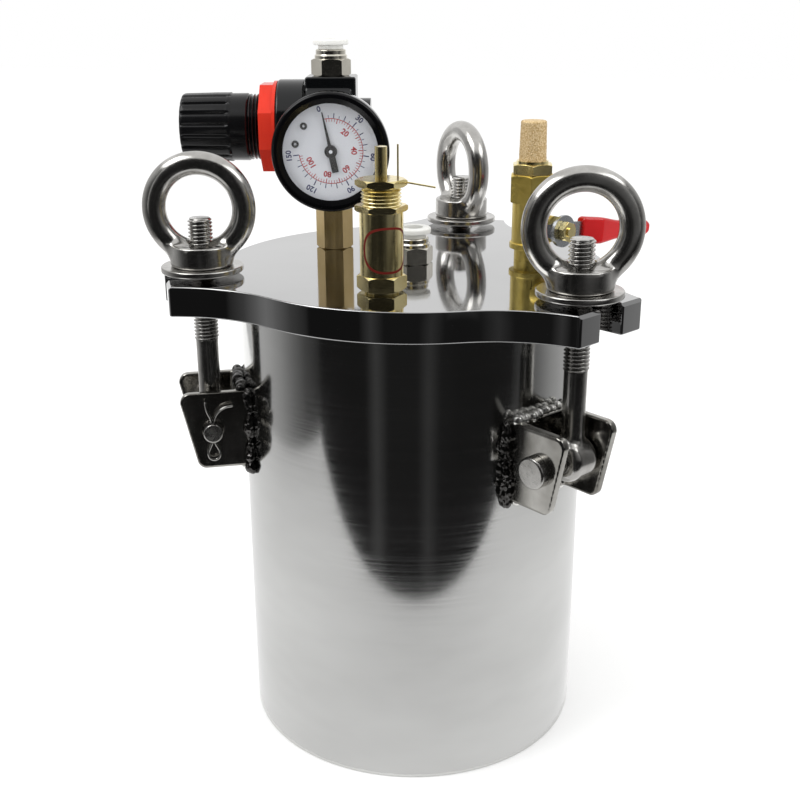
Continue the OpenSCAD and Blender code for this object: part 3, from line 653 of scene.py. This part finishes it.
def lid():
    tip, chamfer = high("lid_plate")[1], 1.2        # of the ears
    spigot, below, within = 69.5, LID_LOW - 3, LID_LOW + 0.1
    made = piece("lid_casting", prism(lid_outline(), LID_LOW, LID_TOP, 0.6, 3), "lid",
                 MIRROR, "lid_plate")
    work = bmesh.new()
    work.from_mesh(made.data)
    for ear in EARS:
        out = Vector(EAR_FRAME[ear][:, 0])
        bmesh.ops.bisect_plane(work, geom=work.verts[:] + work.edges[:] + work.faces[:], dist=1e-6,
                               plane_co=(out * (tip - chamfer) + Vector((0, 0, LID_TOP))) * MM,
                               plane_no=out + Vector((0, 0, 1)), clear_outer=True)
        bmesh.ops.holes_fill(work, edges=[e for e in work.edges if e.is_boundary], sides=0)
    bmesh.ops.recalc_face_normals(work, faces=work.faces)
    work.to_mesh(made.data)
    work.free()
    smooth(made, 40, True)
    disc = rounded([(0, below, 0), (spigot, below, 0.5), (spigot, within, 0), (0, within, 0)])
    piece("lid_spigot", lathe(disc, 160), "lid", MIRROR, sharp=35, even=True)
    keep("lid_gasket", GASKET)


# ---------- brackets, welds and pins ----------

CHEEK_IN, CHEEK_OUT = 12.0, 15.5        # of each cheek, from the bracket's middle
PIN_R = 4.0
CHEEK_LOW, CHEEK_TOP = low("bracket_left")[2], high("bracket_left")[2]


def bracket(ear):
    """Two cheeks on a web that is cut to the barrel."""
    corner = 4.0
    outline = [(60, CHEEK_LOW + corner), (BOLT_R + 7 - corner, CHEEK_LOW + corner),
               (BOLT_R + 12.5 - corner, CHEEK_TOP - corner), (60, CHEEK_TOP - corner)]

    def distance(p):
        flat = outline_distance(p[:, [0, 2]], outline) - corner
        side = np.abs(p[:, 1])
        cheeks = slab(flat, side, CHEEK_IN, CHEEK_OUT, 0.7)
        web = block(p, (BARREL_R, 0, (CHEEK_LOW + CHEEK_TOP) / 2),
                    (4, CHEEK_IN + 2, (CHEEK_TOP - CHEEK_LOW) / 2), 0.7)
        both = blend(cheeks, web, 1.6)
        wall = np.hypot(p[:, 0], p[:, 1]) - BARREL_R
        pin = np.hypot(p[:, 0] - BOLT_R, p[:, 2] - PIN_Z) - PIN_R
        return cut(cut(both, wall), pin)

    shape = skin(distance, (BARREL_R - 4, -16.5, CHEEK_LOW - 1), (BOLT_R + 14, 16.5, CHEEK_TOP + 1), 0.6)
    piece("clamp_bracket_" + ear, shape, "pot", PRESSED, "bracket_" + ear,
          (BRACKET_FRAME[ear], np.zeros(3)))


def bead_row(rng, out, half, height, radius, count):
    """Overlapping weld drops in a level row across a bracket: centres and radii."""
    drops = []
    for across in np.linspace(-half, half, count):
        at = (out, across, height) + rng.uniform(-0.5, 0.5, 3)
        drops.append((*at, radius * rng.uniform(0.8, 1.15)))
    return drops


def rough_side(rng, side, count):
    """Uneven lumps of a rough weld up the side of a bracket, with stray drops beside it."""
    drops = []
    for z in np.linspace(CHEEK_LOW - 1.0, CHEEK_TOP - 1.5, count):
        at = (BARREL_R - 1.3 + rng.uniform(-0.8, 0.9), side * (15.4 + rng.uniform(-0.8, 1.2)))
        drops.append((*at, z + rng.uniform(-1.6, 1.6), rng.uniform(1.4, 2.9)))
    for _ in range(count // 2):
        at = (BARREL_R + rng.uniform(-0.6, 0.2), side * rng.uniform(16.6, 19.0))
        drops.append((*at, rng.uniform(CHEEK_LOW, CHEEK_TOP - 2), rng.uniform(0.5, 1.1)))
    return drops


def weld_shape(drops, fillet, wave, reach):
    """Weld drops run together; wave is how uneven their skin is, reach their z from and to."""
    def distance(p):
        d = np.full(len(p), 1e3)
        for x, y, z, r in drops:
            d = blend(d, np.linalg.norm(p - (x, y, z), axis=1) - r, fillet)
        x, y, z = p.T
        d = d + wave * np.sin(x * 2.1 + 2 * np.sin(y * 1.1)) * np.sin(y * 1.6 + z * 1.4 + 2 * np.sin(z * 0.8))
        d = d + 0.4 * wave * np.sin(x * 5.3 - z * 4.1) * np.sin(y * 5.1 + z * 3.3)
        return np.maximum(d, BARREL_R - np.hypot(x, y))

    return skin(distance, (BARREL_R - 3.5, -20.5, reach[0]), (BARREL_R + 6, 20.5, reach[1]), 0.45)


def welds():
    """A seam along the top and foot of each bracket and rough lumps up its sides."""
    rng = np.random.default_rng(7)
    half, seams, sides = 13.0, [], []
    rows = ((CHEEK_TOP + 0.3, 75.0, 2.45, 0.12, 0.04), (CHEEK_LOW - 0.4, 74.6, 1.9, 0.5, 0.12))
    for ear in EARS:
        rot = BRACKET_FRAME[ear]
        for height, out, radius, fillet, wave in rows:
            drops = bead_row(rng, out, half, height, radius, 8)
            seam = weld_shape(drops, fillet, wave, (height - 4, height + 4))
            # Painted shade: the left bracket's top seam takes the near-black weld because it looks dark from this
            # side; the other seams take the lighter weld.
            shaded_seam = ear == "left" and height > PIN_Z        # the left bracket's top seam is dark
            (sides if shaded_seam else seams).append(moved(seam, rot))
        drops = rough_side(rng, -1, 15) + rough_side(rng, 1, 15)
        sides.append(moved(weld_shape(drops, 2.2, 0.26, (CHEEK_LOW - 4, CHEEK_TOP + 3)), rot))
    piece("weld_seams", merged(*seams), "pot", WELD_BRIGHT, "bracket_welds")
    piece("weld_lumps", merged(*sides), "pot", WELD)


def pins():
    """Headed hinge pins and the split pins that hold them."""
    head_r, head, tail, clip = 6.35, -CHEEK_OUT - 4, CHEEK_OUT + 5, CHEEK_OUT + 2.5
    profile = rounded([(0, head, 0), (head_r, head, 0.9), (head_r, -CHEEK_OUT, 0.3),
                       (PIN_R, -CHEEK_OUT, 0), (PIN_R, tail, 0.7), (0, tail, 0)])
    # The split pin's centre line from its upright leg, round its eye, to its bent leg
    route = curve([(2.6, 13), (2.0, 9), (0.5, 5), (0.45, 0), (0.6, -4.6), (2.3, -8.6), (1.9, -11.3),
                   (0, -12.3), (-1.9, -11.3), (-2.3, -8.6), (-0.6, -4.6), (-0.45, 0), (-0.6, 5.2),
                   (-2.6, 8.6), (-5.6, 10.4), (-8.6, 10.9)])
    path = np.column_stack([route[:, 0] + BOLT_R, np.full(len(route), clip), route[:, 1] + PIN_Z])
    solids, clips = [], []
    for ear in EARS:
        rot = BRACKET_FRAME[ear]
        at = rot @ (BOLT_R, 0, PIN_Z)
        lying = np.column_stack([rot[:, 2], rot[:, 0], rot[:, 1]])
        solids.append(moved(lathe(profile, 48), lying, at))
        clips.append(moved(wire(path, 0.5), rot))
    piece("clevis_pins", merged(*solids), "pot", SATIN, "hinge_pins", even=True)
    piece("split_pins", merged(*clips), "pot", BRIGHT, "cotter_pins")


# ---------- clamp bolts ----------

def swing_bolt(ear):
    """A knuckle on the pin, blended into a plain shank, and the thread above it."""
    rot = BRACKET_FRAME[ear]
    bolt_x, side, _ = rot.T @ pivot("nut_turn_" + ear)
    knuckle_r, knuckle_half, shank, thread, pitch, depth = 8.5, 7.0, 4.5, 5.0, 1.5, 0.92
    thread_from, stud_top = LID_LOW - 15.5, high("swing_bolt_" + ear)[2]

    def eye_end(p):
        ball = drum(p, knuckle_r, side - knuckle_half, side + knuckle_half, 3.6, 1, (BOLT_R, 0, PIN_Z))
        rod = drum(p, shank, PIN_Z, thread_from + 1, 0.5, 2, (bolt_x, side, 0))
        pin = np.hypot(p[:, 0] - BOLT_R, p[:, 2] - PIN_Z) - PIN_R - 0.06
        return cut(blend(ball, rod, 2.0), pin, 0.5)

    shape = skin(eye_end, (BOLT_R - 9, side - 8, PIN_Z - 9), (BOLT_R + 9, side + 8, thread_from + 1.5), 0.5)
    body, steel = "bolt_" + ear, "fastener_steel"
    piece("bolt_shank_" + ear, shape, body, FORGED, "swing_bolt_" + ear, (rot, np.zeros(3)))
    rot = EAR_FRAME[ear]
    piece("bolt_thread_" + ear, screw(thread, pitch, thread_from, stud_top, depth), body, BRIGHT,
          placed=(rot, rot @ (BOLT_R, 0, 0)))


def washer(ear):
    """A flat washer, a hair below its eye nut so that they share no face."""
    rot = EAR_FRAME[ear]
    at = rot @ (BOLT_R, 0, 0)
    bore, rim, gap = 5.3, high("washer_" + ear)[1] - at[1], 0.03
    bottom, top = low("washer_" + ear)[2], low("eye_nut_" + ear)[2] - gap
    profile = rounded([(bore, bottom, 0.4), (rim, bottom, 0.7), (rim, top, 0.7), (bore, top, 0.4)])
    piece("flat_washer_" + ear, lathe(profile, 96), "washer_" + ear, FORGED,
          "washer_" + ear, (rot, at), even=True)


def eye_nut(ear):
    """A forged ring on a round foot, facing as its mount says."""
    eye_r, bar, foot_r, foot_high, bore, bore_high = 17.8, 4.7, 12.5, 8.6, 5.05, 20
    facing = np.array(next(m for m in frame["record"]["mounts"] if m["name"] == "eye_" + ear)["axis"])

    def eye(p):
        foot = drum(p, foot_r, 0, foot_high, 1.0)
        hoop = ring(p, eye_r, bar, (0, 0, eye_r + bar))
        solid = np.maximum(blend(foot, hoop, 3.2), -p[:, 2])
        return cut(solid, np.maximum(np.hypot(p[:, 0], p[:, 1]) - bore, p[:, 2] - bore_high), 0.3)

    shape = skin(eye, (-23, -13, -0.2), (23, 13, 46), 0.55)
    at = EAR_FRAME[ear] @ (BOLT_R, 0, low("eye_nut_" + ear)[2])
    piece("lifting_eye_" + ear, shape, "nut_" + ear, FORGED, "eye_nut_" + ear,
          (np.column_stack([np.cross(facing, UP), facing, UP]), at))


# ---------- regulator ----------

# Knob frame: z along the knob's axis; the stations along it
TURNED = basis(UP, KNOB_AXIS), REG[1]
BODY_END, BODY_FACE, FLANGE_END, NUT_END, NECK_END = -10.8, 10.5, 22.7, 29.7, 34.7
KNOB_FROM, FLUTE_FROM, KNOB_TO, STOP_END = 35.0, 42.7, 63.8, 48.4


def regulator_body():
    port_half, port_high, housing_r, boss_r = 10, 21.3, 19.2, 9.4

    def casting(p):
        port_block = block(p, ((BODY_FACE + BODY_END) / 2, 0, 0),
                           ((BODY_FACE - BODY_END) / 2, port_half, port_high), 0.9)
        housing = drum(p, housing_r, BODY_END + 2, BODY_FACE, 1.0, 0)
        boss = drum(p, boss_r, 12, 18.6, 0.6, 1, (-1.3, 0, -6.5))       # takes the gauge's stem
        return blend(blend(port_block, housing, 1.4), boss, 1.0)

    shape = skin(casting, (BODY_END - 1, -20, -22), (BODY_FACE + 1, 20, 22), 0.6)
    piece("regulator_casting", shape, "lid", CASTING, "regulator_body", REG)


def regulator_bonnet():
    """A flange, a neck with rounded thread ridges, and the tube inside the knob."""
    flange, flange_from, neck, tube, screw_hole = 19.8, 11.3, 13.8, 11.5, 3.1
    pitch, count, height, cuts = 1.5, 3, 0.42, 10      # of the ridges
    ridges = [(neck - height * (1 - math.cos(2 * math.pi * t / cuts)), NUT_END + 0.2 + pitch * t / cuts, 0)
              for t in range(cuts * count + 1)]
    profile = rounded([(0, flange_from, 0), (flange, flange_from, 0.5), (flange, FLANGE_END, 1.2),
                       (neck, FLANGE_END, 0.3)] + ridges
                      + [(neck, NECK_END, 0), (tube, NECK_END, 0), (tube, STOP_END, 0.4),
                         (screw_hole, STOP_END, 0), (screw_hole, STOP_END - 2, 0), (0, STOP_END - 2, 0)])
    piece("regulator_housing", lathe(profile, 128), "lid", CASTING, "regulator_bonnet",
          TURNED, sharp=50, even=True)


def knob():
    """A fluted grip with a plain collar, hollow as far as its boss."""
    flutes, depth, groove_half, inside = 18, 0.75, 0.62, 12.4
    end, flute, start, boss = KNOB_TO, FLUTE_FROM, KNOB_FROM, STOP_END + 3.5

    def groove(turns, z, r):
        if r < inside + 0.05:
            return 0 * turns
        spacing = 2 * math.pi / flutes
        off = (turns + spacing / 2) % spacing - spacing / 2
        fade = np.clip((z - flute) / 1.0, 0, 1) * np.clip((end - z) / 1.4, 0.35, 1)
        return -depth * fade * np.exp(-(off * r / groove_half) ** 2)

    grip = [(14.05 + 0.35 * min(1, (end - 1 - z) / 14), z, 0)
            for z in np.arange(end - 1.4, flute + 0.6, -0.8)]
    profile = rounded([(0, end, 0), (10.5, end, 0), (12.9, end, 0), (13.6, end - 0.3, 0),
                       (13.95, end - 0.8, 0)] + grip
                      + [(14.5, flute + 0.3, 0), (14.1, flute - 0.2, 0), (14.1, flute - 0.7, 0),
                         (14.15, start + 0.8, 0.2), (13.4, start, 0.2), (inside, start, 0),
                         (inside, boss, 0), (0, boss, 0)])
    piece("knob_grip", lathe(profile, 288, groove), "knob", KNOB, "regulator_knob",
          TURNED, sharp=55, even=True)


def regulator():
    regulator_body()
    regulator_bonnet()
    knob()
    keep("panel_nut", RED, 0.5)
    keep("valve_plug", CASTING, 0.4)
    keep("valve_poppet", BRASS)
    keep("diaphragm", RUBBER)
    keep("adjusting_screw", SATIN)
    keep("spring_seat", SATIN)
    for port in ("inlet", "outlet"):
        keep(port + "_fitting", NICKEL, 0.2)
        keep(port + "_collet", WHITE, 0.35)
    keep("riser_pipe", BRONZE, 0.25)


# ---------- gauge ----------

SWEEP, ZERO = 276.0, -12.5          # of the scale in degrees, clockwise from upright
SCALE_TOP = 150                     # outer scale's last number
INNER_TOP = 109                     # inner scale's value at the same angle
DIAL_SCREWS = [(-10.9, 10.1), (-14.5, 2.9)]
INK_LOW, INK_TOP = -1.02, -0.94     # of the print on the dial


def on_dial(value, top):
    return math.radians(ZERO + SWEEP * value / top)


def tick(angle, r0, r1, width):
    """A flat bar of print on the dial from radius r0 to r1."""
    h = width / 2
    return moved(prism([(-h, r0), (h, r0), (h, r1), (-h, r1)], INK_LOW, INK_TOP), clockwise(angle))


def scale_line(r, width, start, end):
    """A thin printed arc."""
    angles = np.linspace(start, end, 120)
    edges = ((r + width / 2, angles), (r - width / 2, angles[::-1]))
    return prism([(edge * math.sin(a), edge * math.cos(a)) for edge, run in edges for a in run],
                 INK_LOW, INK_TOP - 0.01)


def numeral(text, angle, r, size):
    """A number as thin print, its top away from the dial's centre."""
    font = bpy.data.curves.new("numeral", "FONT")
    font.body, font.size = text, size
    font.align_x, font.align_y = "CENTER", "CENTER"
    font.offset = size * 0.028
    font.resolution_u = 3
    font.extrude = (INK_TOP - INK_LOW) / 2
    holder = linked("numeral", font)
    mesh = bpy.data.meshes.new_from_object(holder.evaluated_get(bpy.context.evaluated_depsgraph_get()))
    points = np.array([v.co for v in mesh.vertices])
    faces = [tuple(f.vertices) for f in mesh.polygons]
    bpy.data.objects.remove(holder)
    bpy.data.meshes.remove(mesh)
    rot = clockwise(angle)
    return moved((points, faces), rot, rot @ (0, r, (INK_LOW + INK_TOP) / 2))


def dial_scales():
    """Two scales over the same sweep: the outer with lines every 5, the inner every 2."""
    blue, red = [], []
    for value in range(0, SCALE_TOP + 1, 5):
        at = on_dial(value, SCALE_TOP)
        if value % 30 == 0:
            blue.append(tick(at, 13.3, 15.6, 0.44))
            spin = at - math.radians(3 if value == 0 else 0)
            blue.append(numeral(str(value), spin, 17.3, 3.1))
        else:
            long = value % 10 == 0
            blue.append(tick(at, 13.3, 15.2 if long else 14.4, 0.34 if long else 0.24))
    for value in range(0, INNER_TOP + 1, 2):
        long = value % 10 == 0
        red.append(tick(on_dial(value, INNER_TOP), 11.2 if long else 11.8, 12.9, 0.34 if long else 0.22))
    for value in range(20, INNER_TOP, 20):
        red.append(numeral(str(value), on_dial(value, INNER_TOP), 9.3, 3.2))
    red.append(scale_line(13.05, 0.3, on_dial(0, 1), on_dial(1, 1)))
    piece("dial_outer_scale", merged(*blue), "lid", BLUE_INK, placed=GAUGE)
    piece("dial_inner_scale", merged(*red), "lid", RED_INK, placed=GAUGE)


def gauge_needle():
    """A tapered hand with a wide tail, at rest a little left of upright."""
    outline = [(-0.75, 0), (-0.22, 16.0), (0.22, 16.0), (0.75, 0), (0.95, -2.0), (1.35, -2.4),
               (1.35, -8.6), (-1.35, -8.6), (-1.35, -2.4), (-0.95, -2.0)]
    hand = moved(prism(outline, 0.0, 0.45, 0.08), clockwise(math.radians(-12)))
    hub = lathe(rounded([(0, -0.35, 0), (2.6, -0.35, 0.2), (2.6, 1.0, 0.5), (0, 1.0, 0)]), 48)
    arbor = lathe([(0, -4.8), (0.7, -4.8), (0.7, 0.2), (0, 0.2)], 24)
    piece("pointer", merged(hand, hub, arbor), "needle", NEEDLE, "gauge_needle",
          GAUGE, sharp=40)
    cap = lathe(rounded([(0, 0.8, 0), (0.75, 0.8, 0), (0.75, 1.25, 0.15), (0, 1.25, 0)]), 24)
    piece("pointer_cap", cap, "needle", DIAL, placed=GAUGE)


def gauge():
    keep("gauge_case", CHROME, 0.3)
    keep("gauge_stem", BRASS)
    keep("bourdon_tube", BRASS)
    keep("gauge_dial", DIAL)
    lens = keep("gauge_lens", GLASS, 0.2)
    lens.visible_shadow = False
    outer, hollow, back, front, face = 24.0, 23.3, -1.2, 5.0, 19.4
    profile = rounded([(hollow, back, 0), (outer, back, 0.3), (outer, front, 1.6), (21.6, front, 0.5),
                       (face, front - 1.2, 0.3), (face, front - 1.45, 0), (hollow, front - 1.45, 0)])
    piece("bezel_ring", lathe(profile, 160), "lid", BEZEL, "gauge_bezel", GAUGE,
          sharp=40, even=True)
    dial_scales()
    head = lathe(rounded([(0, -1.1, 0), (1.45, -1.1, 0), (1.45, -0.2, 0.35), (0.6, -0.12, 0),
                          (0.5, -0.5, 0), (0, -0.5, 0)]), 32)
    for number, (x, y) in enumerate(DIAL_SCREWS):
        piece(f"dial_screw_{number}", moved(head, origin=(x, y, 0)), "lid", CASTING,
              placed=GAUGE, sharp=35)
    gauge_needle()


# ---------- relief valve ----------

def relief_valve():
    keep("relief_body", BRASS, 0.25)
    keep("relief_lock_nut", BRASS, 0.2)
    keep("relief_cap", BRASS, 0.15, 40)
    keep("relief_stem", BRASS, 0.35)
    keep("seal_wire", BRASS)
    # Inspection mark: an oval outline wrapped round the front of the body
    radius, height, half_w, half_h, line = 8.25, LID_TOP + 16.8, 10.0, 8.3, 0.42
    facing = math.radians(-54)
    points, faces, count = [], [], 96
    for t in np.arange(count) * 2 * math.pi / count:
        for grow, lift in ((-line, 0.0), (-line, 0.07), (line, 0.07), (line, 0.0)):
            across = (half_w + grow) * math.copysign(abs(math.cos(t)) ** 0.8, math.cos(t))
            up = (half_h + grow) * math.copysign(abs(math.sin(t)) ** 0.8, math.sin(t))
            a = facing + across / radius
            points.append(((radius + lift) * math.cos(a), (radius + lift) * math.sin(a), height + up))
    for i in range(count):
        faces += band(4 * i, 4 * ((i + 1) % count), 4)
    piece("inspection_mark", (points, faces), "lid", MAROON,
          placed=(np.eye(3), middle("relief_stem") * (1, 1, 0)), sharp=35)


# ---------- springs ----------

def spring(name, shape, node, placed):
    """A coil of spring wire on the lid in place of a CAD node, with its own copy of its mesh."""
    made = piece(name, shape, "lid", SPRING, node, placed)
    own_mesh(made)


def springs():
    start, end, clear = 11.3, 34.4, 0.05        # stations on the knob's axis
    spring("main_spring", coil(6.6, 1.0, start, end - clear, 6), "regulator_spring", TURNED)
    start, end = low("relief_spring")[2], high("relief_spring")[2]
    centre = middle("relief_spring") * (1, 1, 0)
    spring("relief_coil", coil(4.1, 0.65, start, end, 9), "relief_spring", (np.eye(3), centre))


# ---------- ball valve ----------

def ball_valve():
    keep("valve_body", BRASS_MATT, 0.35)
    keep("valve_end", BRASS_MATT, 0.3)
    keep("ball_seats", WHITE)
    keep("valve_ball", CHROME)
    keep("valve_stem", BRASS, 0.2)
    keep("packing_nut", BLUED, 0.2)
    keep("valve_lever", ZINC, 0.3)
    keep("lever_nut", BRASS, 0.2)
    keep("muffler_body", BRASS, 0.3)

    sleeve()
    muffler()


def sleeve():
    """The dipped grip on the lever: stepped out from it, with a waist and a narrow tip."""
    rot = VALVE[0] @ clockwise(math.radians(5))
    inner, outer, start, step_from, step_to, rise, tip = 16.0, 20.0, 10.9, 11.0, 20.0, 4.0, 51.0
    side = [(start, inner), (step_from + 1.5, inner), (step_to, inner + rise), (tip, inner + rise),
            (tip, outer + rise), (step_to - 1.5, outer + rise), (step_from, outer), (start, outer)]

    def grip(p):
        waist = np.clip((p[:, 0] - 17) / 15, 0, 1)
        end = np.clip((p[:, 0] - tip + 5) / 5, 0, 1)
        half = 5.6 - 1.7 * waist * waist * (3 - 2 * waist) - 1.6 * end ** 2
        return slab(outline_distance(p[:, [0, 2]], side), p[:, 1], -half, half, 1.5)

    shape = skin(grip, (9, -8, 14), (tip + 1, 8, 26), 0.6)
    piece("vinyl_grip", shape, "lever", VINYL, "lever_sleeve", (rot, VALVE[1]))


def muffler():
    """A slightly tapered plug of sintered grains."""
    base, top = low("muffler_element")[2] + 2, high("muffler_element")[2]
    rng = np.random.default_rng(11)
    grain = rng.normal(0, 0.075, (400, 220))

    def rough(turns, z, r):
        if r < 3:
            return 0 * turns
        return grain[int((z - base) * 10) % 400][: len(turns)]

    profile = [(0, base - 1.5), (2, base - 1.5), (5.5, base - 1.5)]
    profile += [(5.62 - 0.4 * (z - base) / (top - base), z) for z in np.arange(base - 1.3, top - 0.7, 0.22)]
    profile += [(5.0, top - 0.35), (4.6, top - 0.15), (3.4, top - 0.12), (1.7, top - 0.1), (0, top - 0.1)]
    piece("sintered_plug", lathe(profile, 220, rough), "lid", SINTERED,
          "muffler_element", (np.eye(3), middle("muffler_element") * (1, 1, 0)))


# ---------- studio ----------

def card(name, places, glows):
    """A grid of points that only shows in reflections, as bright at each point as glows says."""
    mesh = bpy.data.meshes.new(name)
    n = len(places[0])
    faces = [(i, i + 1, i + n + 1, i + n)
             for row in range(len(places) - 1) for i in range(row * n, row * n + n - 1)]
    mesh.from_pydata([tuple(p) for row in places for p in row], [], faces)
    glow = mesh.attributes.new("glow", "FLOAT", "POINT")
    glow.data.foreach_set("value", [g for row in glows for g in row])
    made = linked(name, mesh)
    stuff, tree, main = shader(name, (0, 0, 0), 1.0, Specular_IOR_Level=0.0, Emission_Color=(1, 1, 1, 1))
    read = tree_node(tree, "Attribute")
    read.attribute_name = "glow"
    tree.links.new(read.outputs["Fac"], main.inputs["Emission Strength"])
    mesh.materials.append(stuff)
    made.visible_camera = made.visible_diffuse = made.visible_shadow = False
    made.visible_transmission = False


def floor():
    half = 4.0
    mesh = bpy.data.meshes.new("floor")
    mesh.from_pydata([(-half, -half, 0), (half, -half, 0), (half, half, 0), (-half, half, 0)], [],
                     [(0, 1, 2, 3)])
    mesh.materials.append(shader("floor", (0.94, 0.94, 0.935), 0.9, Specular_IOR_Level=0.0,
                                 Emission_Color=(1, 1, 1, 1), Emission_Strength=0.07)[0])
    linked("floor", mesh)


def studio():
    """A white room with, in reflections only, a light tent whose front is open to the dark."""
    floor()
    toward = math.radians(-72)
    out = Vector((math.cos(toward), math.sin(toward), 0))
    along = Vector((-out.y, out.x, 0))
    near, half, top, depth = 0.221, 0.39, 0.50, 0.75
    up = Vector((0, 0, top))

    def spot(forward, aside):
        return out * forward + along * aside

    # Across the opening: places from edge to edge, and how bright it is there low down and high up
    opening = ((-1, 0.035, 0.45), (-0.9, 0.012, 0.50), (-0.78, 0.012, 0.30), (-0.70, 0.012, 0.03),
               (-0.30, 0.012, 0.015), (-0.23, 0.060, 0.025), (-0.16, 0.015, 0.015), (0.0, 0.015, 0.015),
               (0.055, 0.045, 0.03), (0.12, 0.015, 0.03), (0.24, 0.012, 0.10), (0.50, 0.012, 0.14),
               (0.75, 0.012, 0.22), (0.9, 0.012, 0.30), (1, 0.035, 0.35))
    rows = [(0, 1), (0.160, 1), (0.180, 2), (top, 2)]
    card("dark_front", [[spot(near, half * o[0]) + Vector((0, 0, z)) for o in opening] for z, _ in rows],
         [[o[level] for o in opening] for _, level in rows])
    wall_glow = (0.035, 0.08, 0.19, 0.34, 0.45, 0.52, 0.56, 0.58, 0.60, 0.60, 0.60)
    for name, sign in (("side_left", -1), ("side_right", 1)):
        wall = [spot(near - depth * k / 10, sign * (half + 0.05 * k / 10)) for k in range(11)]
        card(name, [wall, [p + up for p in wall]], [wall_glow, wall_glow])
    # The tent's floor: reach from the pot's axis, and its glow at the sides and in front
    turns = [math.radians(a) for a in range(-150, 151, 10)]
    places, glows = [], []
    for reach, beside, ahead in ((0.0745, 1.0, 0.90), (0.12, 1.0, 0.86), (0.20, 0.98, 0.78),
                                 (0.28, 0.86, 0.78), (0.36, 0.72, 0.78), (0.44, 0.60, 0.78)):
        row = [spot(min(reach * math.cos(a), near - 0.002), reach * math.sin(a)) for a in turns]
        places.append([p + Vector((0, 0, 0.0005)) for p in row])
        glows.append([beside + (ahead - beside) * max(0, math.cos(a)) ** 2
                      + (0.97 - beside) * max(0, -math.cos(a)) for a in turns])
    card("tent_floor", places, glows)

    world = bpy.data.worlds.new("studio")
    bpy.context.scene.world = world
    world.use_nodes = True
    sky = world.node_tree.nodes["Background"].inputs
    sky["Color"].default_value, sky["Strength"].default_value = (1, 1, 1, 1), 1.0
    for name, place, power in (("key", (-0.7, -0.5, 1.1), 7), ("fill", (0.9, -0.2, 0.9), 4)):
        data = bpy.data.lights.new(name, "AREA")
        data.energy, data.size = power, 0.8
        lamp = linked(name, data)
        lamp.location = place
        aim = Vector((0, 0, 0.15)) - Vector(place)
        lamp.rotation_euler = aim.to_track_quat("-Z", "Y").to_euler()


def camera():
    data = bpy.data.cameras.new("camera")
    data.lens, data.sensor_width = 51.67, 36
    made = linked("camera", data)
    made.location = (0.12686, -0.45670, 0.31165)
    ahead, roll = Vector((-0.2630, 0.9043, -0.3362)), math.radians(0.19)
    made.rotation_mode = "QUATERNION"
    made.rotation_quaternion = ahead.to_track_quat("-Z", "Y") @ Matrix.Rotation(-roll, 3, "Z").to_quaternion()
    data.clip_start, data.clip_end = 0.01, 50
    bpy.context.scene.camera = made


camera()
studio()
barrel()
lid()
for side in EARS:
    bracket(side)
    swing_bolt(side)
    washer(side)
    eye_nut(side)
welds()
pins()
regulator()
gauge()
relief_valve()
springs()
ball_valve()
bpy.context.scene.view_settings.view_transform = "Standard"
